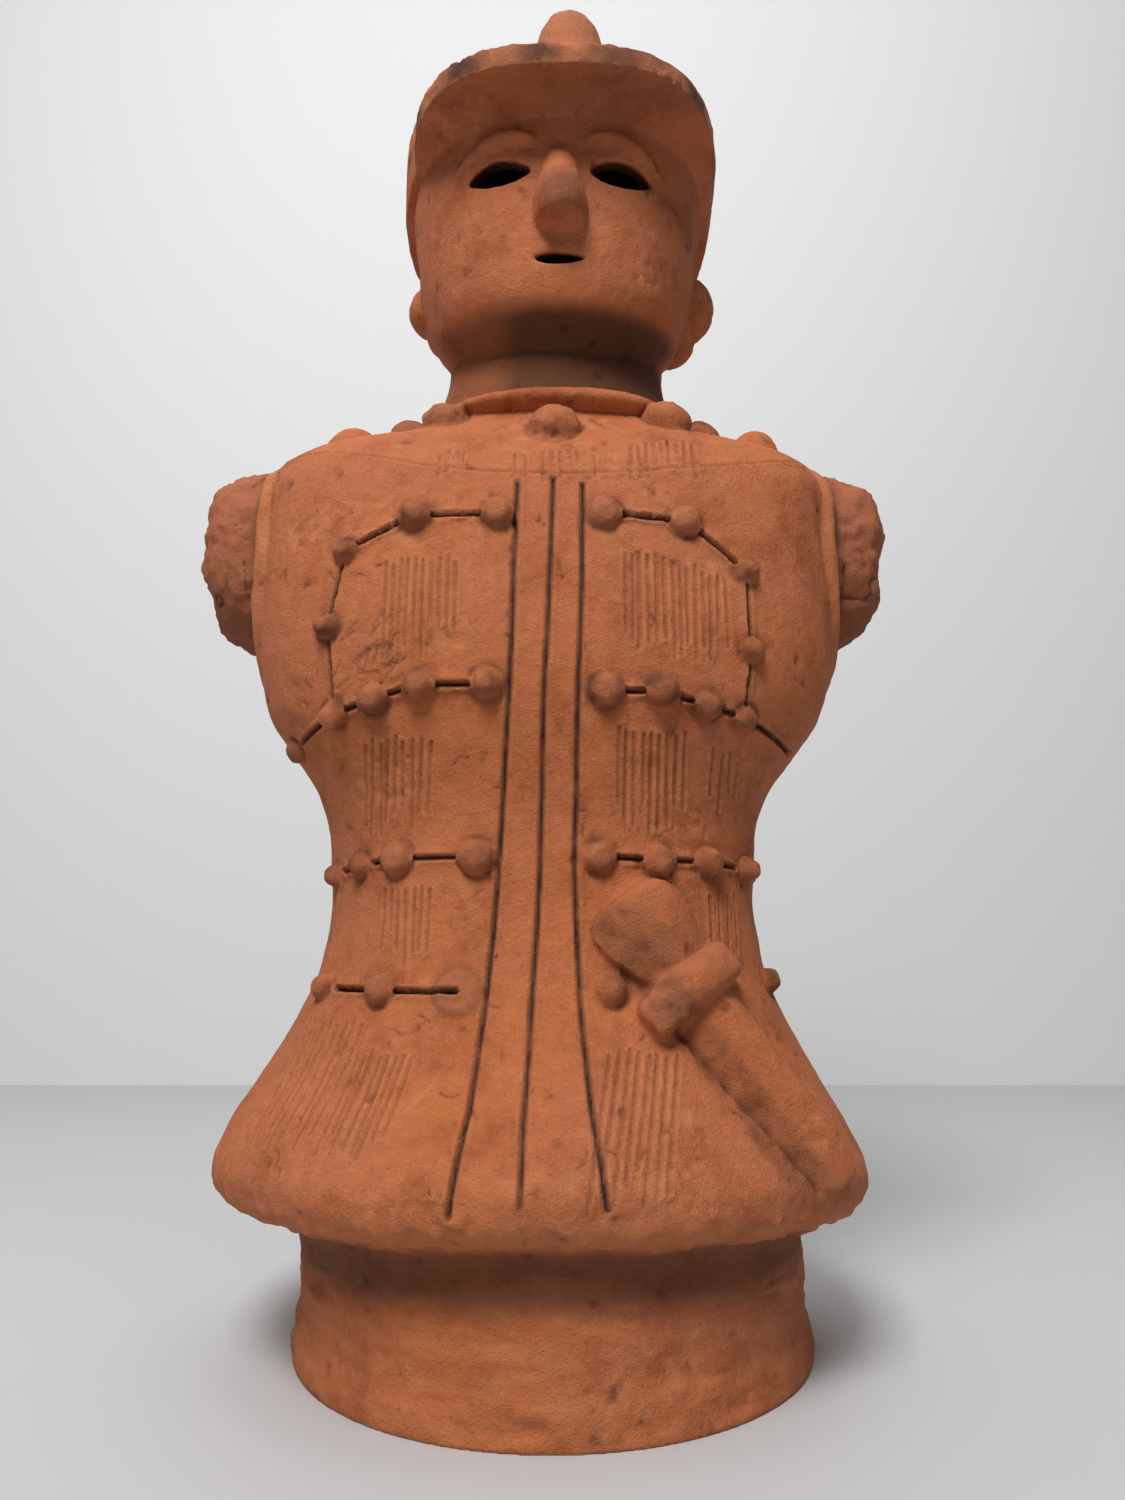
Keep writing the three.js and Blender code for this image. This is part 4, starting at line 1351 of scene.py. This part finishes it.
def clay_material(colours):
    """Low-fired clay: mottled body, grain, dark grooves, breaks, wear and smoke stains, with painted
    shade in creases and under parts and painted highlights on raised lips and the hem's edge.
    """
    material = bpy.data.materials.new("fired_clay")
    material.use_nodes = True
    nodes = Nodes(material.node_tree)
    shader = material.node_tree.nodes["Principled BSDF"]
    place = nodes.add("ShaderNodeTexCoord").outputs["Object"]

    clouds = nodes.noise(place, 9, 5, 0.6)
    patches = nodes.noise(place, 34, 6, 0.65)
    mottle = nodes.noise(place, 170, 7, 0.7)
    grain = nodes.noise(place, 1100, 3, 0.6)
    streaks = nodes.noise(nodes.stretched(place, (260, 260, 26)), 1, 4, 0.6)

    base = nodes.mix(nodes.ramp(clouds, 0.35, 0.65), colour(colours.clay), colour(colours.pink_clay))
    base = nodes.mix(nodes.ramp(patches, 0.46, 0.74), base, colour(colours.dark_clay_and_shade))
    mottled = nodes.math("MULTIPLY", nodes.ramp(mottle, 0.45, 0.75), 0.35)
    base = nodes.mix(mottled, base, colour(colours.pale_clay_and_highlight))
    streaked = nodes.math("MULTIPLY", nodes.ramp(streaks, 0.5, 0.8), 0.22)
    base = nodes.mix(streaked, base, colour(colours.dark_clay_and_shade))
    specks = nodes.math("MULTIPLY", nodes.ramp(grain, 0.62, 0.72), 0.6)
    base = nodes.mix(specks, base, colour(colours.dirt_and_shade))
    crumbs = nodes.math("MULTIPLY", nodes.ramp(nodes.noise(place, 620, 3, 0.6), 0.62, 0.72), 0.5)
    base = nodes.mix(crumbs, base, colour(colours.pale_clay_and_highlight))

    point = nodes.add("ShaderNodeNewGeometry").outputs["Pointiness"]
    edges = nodes.math("MULTIPLY", nodes.ramp(point, 0.52, 0.6), 0.45)
    base = nodes.mix(edges, base, colour(colours.pale_clay_and_highlight))
    # Painted shade: the clay is darkened in creases, where the surface is hollow.
    creases = nodes.math("MULTIPLY", nodes.ramp(point, 0.48, 0.4), 0.55)
    base = nodes.mix(creases, base, colour(colours.dark_clay_and_shade))

    # The masks mix in breaks, pale marks with painted highlights, wear, and painted shade together with
    # smoke stains and the dark of grooves.
    for name, most, value in (
        ("broken", 0.7, colours.broken_clay),
        ("pale", 0.6, colours.pale_clay_and_highlight),
        ("worn", 0.6, colours.worn_clay),
        ("soot_and_shade", 0.85, colours.soot_and_shade),
        ("dirt_and_shade", 1.0, colours.dirt_and_shade),
    ):
        base = nodes.mix(nodes.math("MULTIPLY", nodes.mask(name), most), base, colour(value))
    base = nodes.mix(nodes.math("SUBTRACT", 1.0, nodes.mask("outer")), base, colour(colours.dark_clay_and_shade))

    roughness = nodes.math("ADD", nodes.math("MULTIPLY", mottle, 0.2), 0.72)
    fine = nodes.math("ADD", nodes.math("MULTIPLY", grain, 0.5), mottle)
    bump = nodes.add("ShaderNodeBump")
    nodes.feed(bump, Height=fine, Strength=1.0, Distance=0.0014)
    nodes.feed(shader, Base_Color=base, Roughness=roughness, Normal=bump.outputs["Normal"])
    shader.inputs["Specular IOR Level"].default_value = 0.25
    return material


def plain_material(name, value, roughness):
    material = bpy.data.materials.new(name)
    material.use_nodes = True
    shader = material.node_tree.nodes["Principled BSDF"]
    shader.inputs["Base Color"].default_value = colour(value)
    shader.inputs["Roughness"].default_value = roughness
    return material


# ---- properties, operators and panel ----


def tint(name, description, default):
    return bpy.props.FloatVectorProperty(
        name=name, description=description, subtype="COLOR", size=3, min=0, max=1, default=default
    )


class HaniwaSizes(bpy.types.PropertyGroup):
    stud_radius: bpy.props.FloatProperty(
        name="Stud radius", description="Half the width of a stud, in mm", default=7.6, min=2
    )
    stud_height: bpy.props.FloatProperty(
        name="Stud height", description="How far a stud stands out, in mm", default=7.0, min=1
    )
    groove_depth: bpy.props.FloatProperty(
        name="Groove depth", description="Depth of the incised lines, in mm", default=2.6, min=0
    )
    comb_depth: bpy.props.FloatProperty(
        name="Comb depth", description="Depth of the comb strokes, in mm", default=0.9, min=0
    )
    voxel: bpy.props.FloatProperty(
        name="Fineness", description="Spacing of the worked surface, in mm", default=1.15, min=0.5
    )
    triangles: bpy.props.IntProperty(
        name="Triangles", description="Triangles kept in the outer skin", default=184000, min=1000
    )


class HaniwaColours(bpy.types.PropertyGroup):
    clay: tint("Clay", "Main colour of the fired clay", (0.50, 0.145, 0.047))
    pink_clay: tint("Pink clay", "Cooler clouds in the clay", (0.47, 0.142, 0.060))
    # Also the painted highlight on the lips beside grooves, along the hem's edge and on the armhole's
    # lip.
    pale_clay_and_highlight: tint("Pale clay", "Rubbed edges and scratches", (0.64, 0.25, 0.10))
    # Also the painted shade in creases.
    dark_clay_and_shade: tint("Dark clay", "Darker patches and creases", (0.34, 0.084, 0.025))
    broken_clay: tint("Broken clay", "Inside of the clay where it broke", (0.35, 0.112, 0.055))
    worn_clay: tint("Worn clay", "Grey-brown wear on raised parts", (0.25, 0.105, 0.058))
    # Also painted shade under the jaw, the visor, the hem and the arms, at the arms' roots, inside the
    # eyes and mouth, on the lower nose and on the sword's lower side; smoke stains only along the
    # visor's edge.
    soot_and_shade: tint("Soot", "Smoked patches", (0.055, 0.023, 0.01))
    # Also the dark paint in grooves, pits and cracks, painted shade round the studs, at the arms' roots
    # and in the scabbard's crease, and dark specks in the grain.
    dirt_and_shade: tint("Dirt", "Earth left in the grooves", (0.022, 0.014, 0.011))


class HaniwaStage(bpy.types.PropertyGroup):
    floor: tint("Floor", "Colour of the floor", (0.54, 0.54, 0.545))
    wall: tint("Wall", "Colour of the backdrop", (0.8, 0.8, 0.8))
    wall_distance: bpy.props.FloatProperty(
        name="Wall distance",
        description="From the figure to the backdrop",
        default=0.914,
        unit="LENGTH",
    )
    camera_distance: bpy.props.FloatProperty(
        name="Camera distance",
        description="From the figure's axis to the camera",
        default=0.558,
        unit="LENGTH",
    )
    camera_height: bpy.props.FloatProperty(
        name="Camera height",
        description="Height of the camera above the floor",
        default=0.186,
        unit="LENGTH",
    )
    camera_side: bpy.props.FloatProperty(
        name="Camera side", description="Sideways from the foot's middle", default=0.0041, unit="LENGTH"
    )
    camera_pitch: bpy.props.FloatProperty(
        name="Camera pitch",
        description="How far the camera looks up",
        default=math.radians(10),
        subtype="ANGLE",
    )
    lens: bpy.props.FloatProperty(name="Lens", description="Focal length in mm", default=25.99, min=1)


class HANIWA_OT_figure(bpy.types.Operator):
    """Raise, fuse, work, hollow and fire the whole figure"""

    bl_idname = "haniwa.figure"
    bl_label = "Make the Figure"

    def execute(self, context):
        sizes, colours = context.scene.haniwa_sizes, context.scene.haniwa_colours
        piece = raised_clay(sizes)
        fuse(piece, sizes.voxel * (1))
        surface = Surface(vertex_array(piece.data))
        work_clay(surface, sizes, random.Random(9))
        write_marks(piece, surface)
        thin_out(piece, sizes.triangles)
        hollow_out(piece)
        place_in_frame(piece)
        piece.data.materials.clear()
        piece.data.materials.append(clay_material(colours))
        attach(piece, "root")
        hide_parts(NODE)
        return {"FINISHED"}


class HANIWA_OT_stage(bpy.types.Operator):
    """Lay the floor and backdrop, light them and set the camera"""

    bl_idname = "haniwa.stage"
    bl_label = "Set the Stage"

    def execute(self, context):
        stage = context.scene.haniwa_stage
        build_backdrop(stage)
        light_stage(context.scene)
        place_camera(context.scene, stage)
        return {"FINISHED"}


def add_sheet(name, corners, value):
    """One flat sheet of the backdrop, in a paint of its own."""
    part = bmesh.new()
    part.faces.new([part.verts.new(corner) for corner in corners])
    sheet = object_of(part, name)
    sheet.data.materials.append(plain_material(name + "_paint", value, PAINT_ROUGHNESS))


def build_backdrop(stage):
    """A floor that meets a plain wall behind the figure."""
    half, back = BACKDROP_HALF, stage.wall_distance
    floor = ((-half, -half, 0), (half, -half, 0), (half, back, 0), (-half, back, 0))
    wall = ((-half, back, 0), (half, back, 0), (half, back, half), (-half, back, half))
    add_sheet("floor", floor, stage.floor)
    add_sheet("wall", wall, stage.wall)


def light_stage(scene):
    """A steep key light in front, a broad soft one overhead and a little light from all round."""
    world = bpy.data.worlds.new("room")
    scene.world = world
    world.use_nodes = True
    background = world.node_tree.nodes["Background"]
    background.inputs["Color"].default_value = (0.95, 0.97, 1.0, 1)
    background.inputs["Strength"].default_value = ROOM_LIGHT
    for name, place, aim, size, watts in LIGHTS:
        light = bpy.data.lights.new(name, "AREA")
        light.size = size
        light.energy = watts
        lamp = bpy.data.objects.new(name, light)
        lamp.location = place
        lamp.rotation_euler = (Vector(aim) - Vector(place)).to_track_quat("-Z", "Y").to_euler()
        lamp.visible_camera = False
        scene.collection.objects.link(lamp)
    scene.view_settings.view_transform = "Standard"


def place_camera(scene, stage):
    """A camera low in front of the figure, looking slightly up."""
    lens = bpy.data.cameras.new("camera")
    lens.lens = stage.lens
    lens.sensor_width = 36
    lens.clip_start = 0.01
    camera = bpy.data.objects.new("camera", lens)
    camera.location = (FOOT_X + stage.camera_side, -stage.camera_distance, stage.camera_height)
    camera.rotation_euler = (math.pi / 2 + stage.camera_pitch, 0, 0)
    scene.collection.objects.link(camera)
    scene.camera = camera


class HANIWA_PT_panel(bpy.types.Panel):
    bl_label = "Haniwa Figure"
    bl_idname = "HANIWA_PT_panel"
    bl_space_type = "VIEW_3D"
    bl_region_type = "UI"
    bl_category = "Haniwa"

    def draw(self, context):
        for group in ("haniwa_sizes", "haniwa_colours", "haniwa_stage"):
            settings = getattr(context.scene, group)
            box = self.layout.box()
            for name in settings.__annotations__:
                box.prop(settings, name)
        for operator in (HANIWA_OT_figure, HANIWA_OT_stage):
            self.layout.operator(operator.bl_idname)


CLASSES = (HaniwaSizes, HaniwaColours, HaniwaStage, HANIWA_OT_figure, HANIWA_OT_stage, HANIWA_PT_panel)


def register():
    for cls in CLASSES:
        bpy.utils.register_class(cls)
    bpy.types.Scene.haniwa_sizes = bpy.props.PointerProperty(type=HaniwaSizes)
    bpy.types.Scene.haniwa_colours = bpy.props.PointerProperty(type=HaniwaColours)
    bpy.types.Scene.haniwa_stage = bpy.props.PointerProperty(type=HaniwaStage)


def unregister():
    del bpy.types.Scene.haniwa_stage
    del bpy.types.Scene.haniwa_colours
    del bpy.types.Scene.haniwa_sizes
    for cls in reversed(CLASSES):
        bpy.utils.unregister_class(cls)


def main():
    register()
    bpy.ops.haniwa.figure()
    bpy.ops.haniwa.stage()


if __name__ == "__main__":
    main()
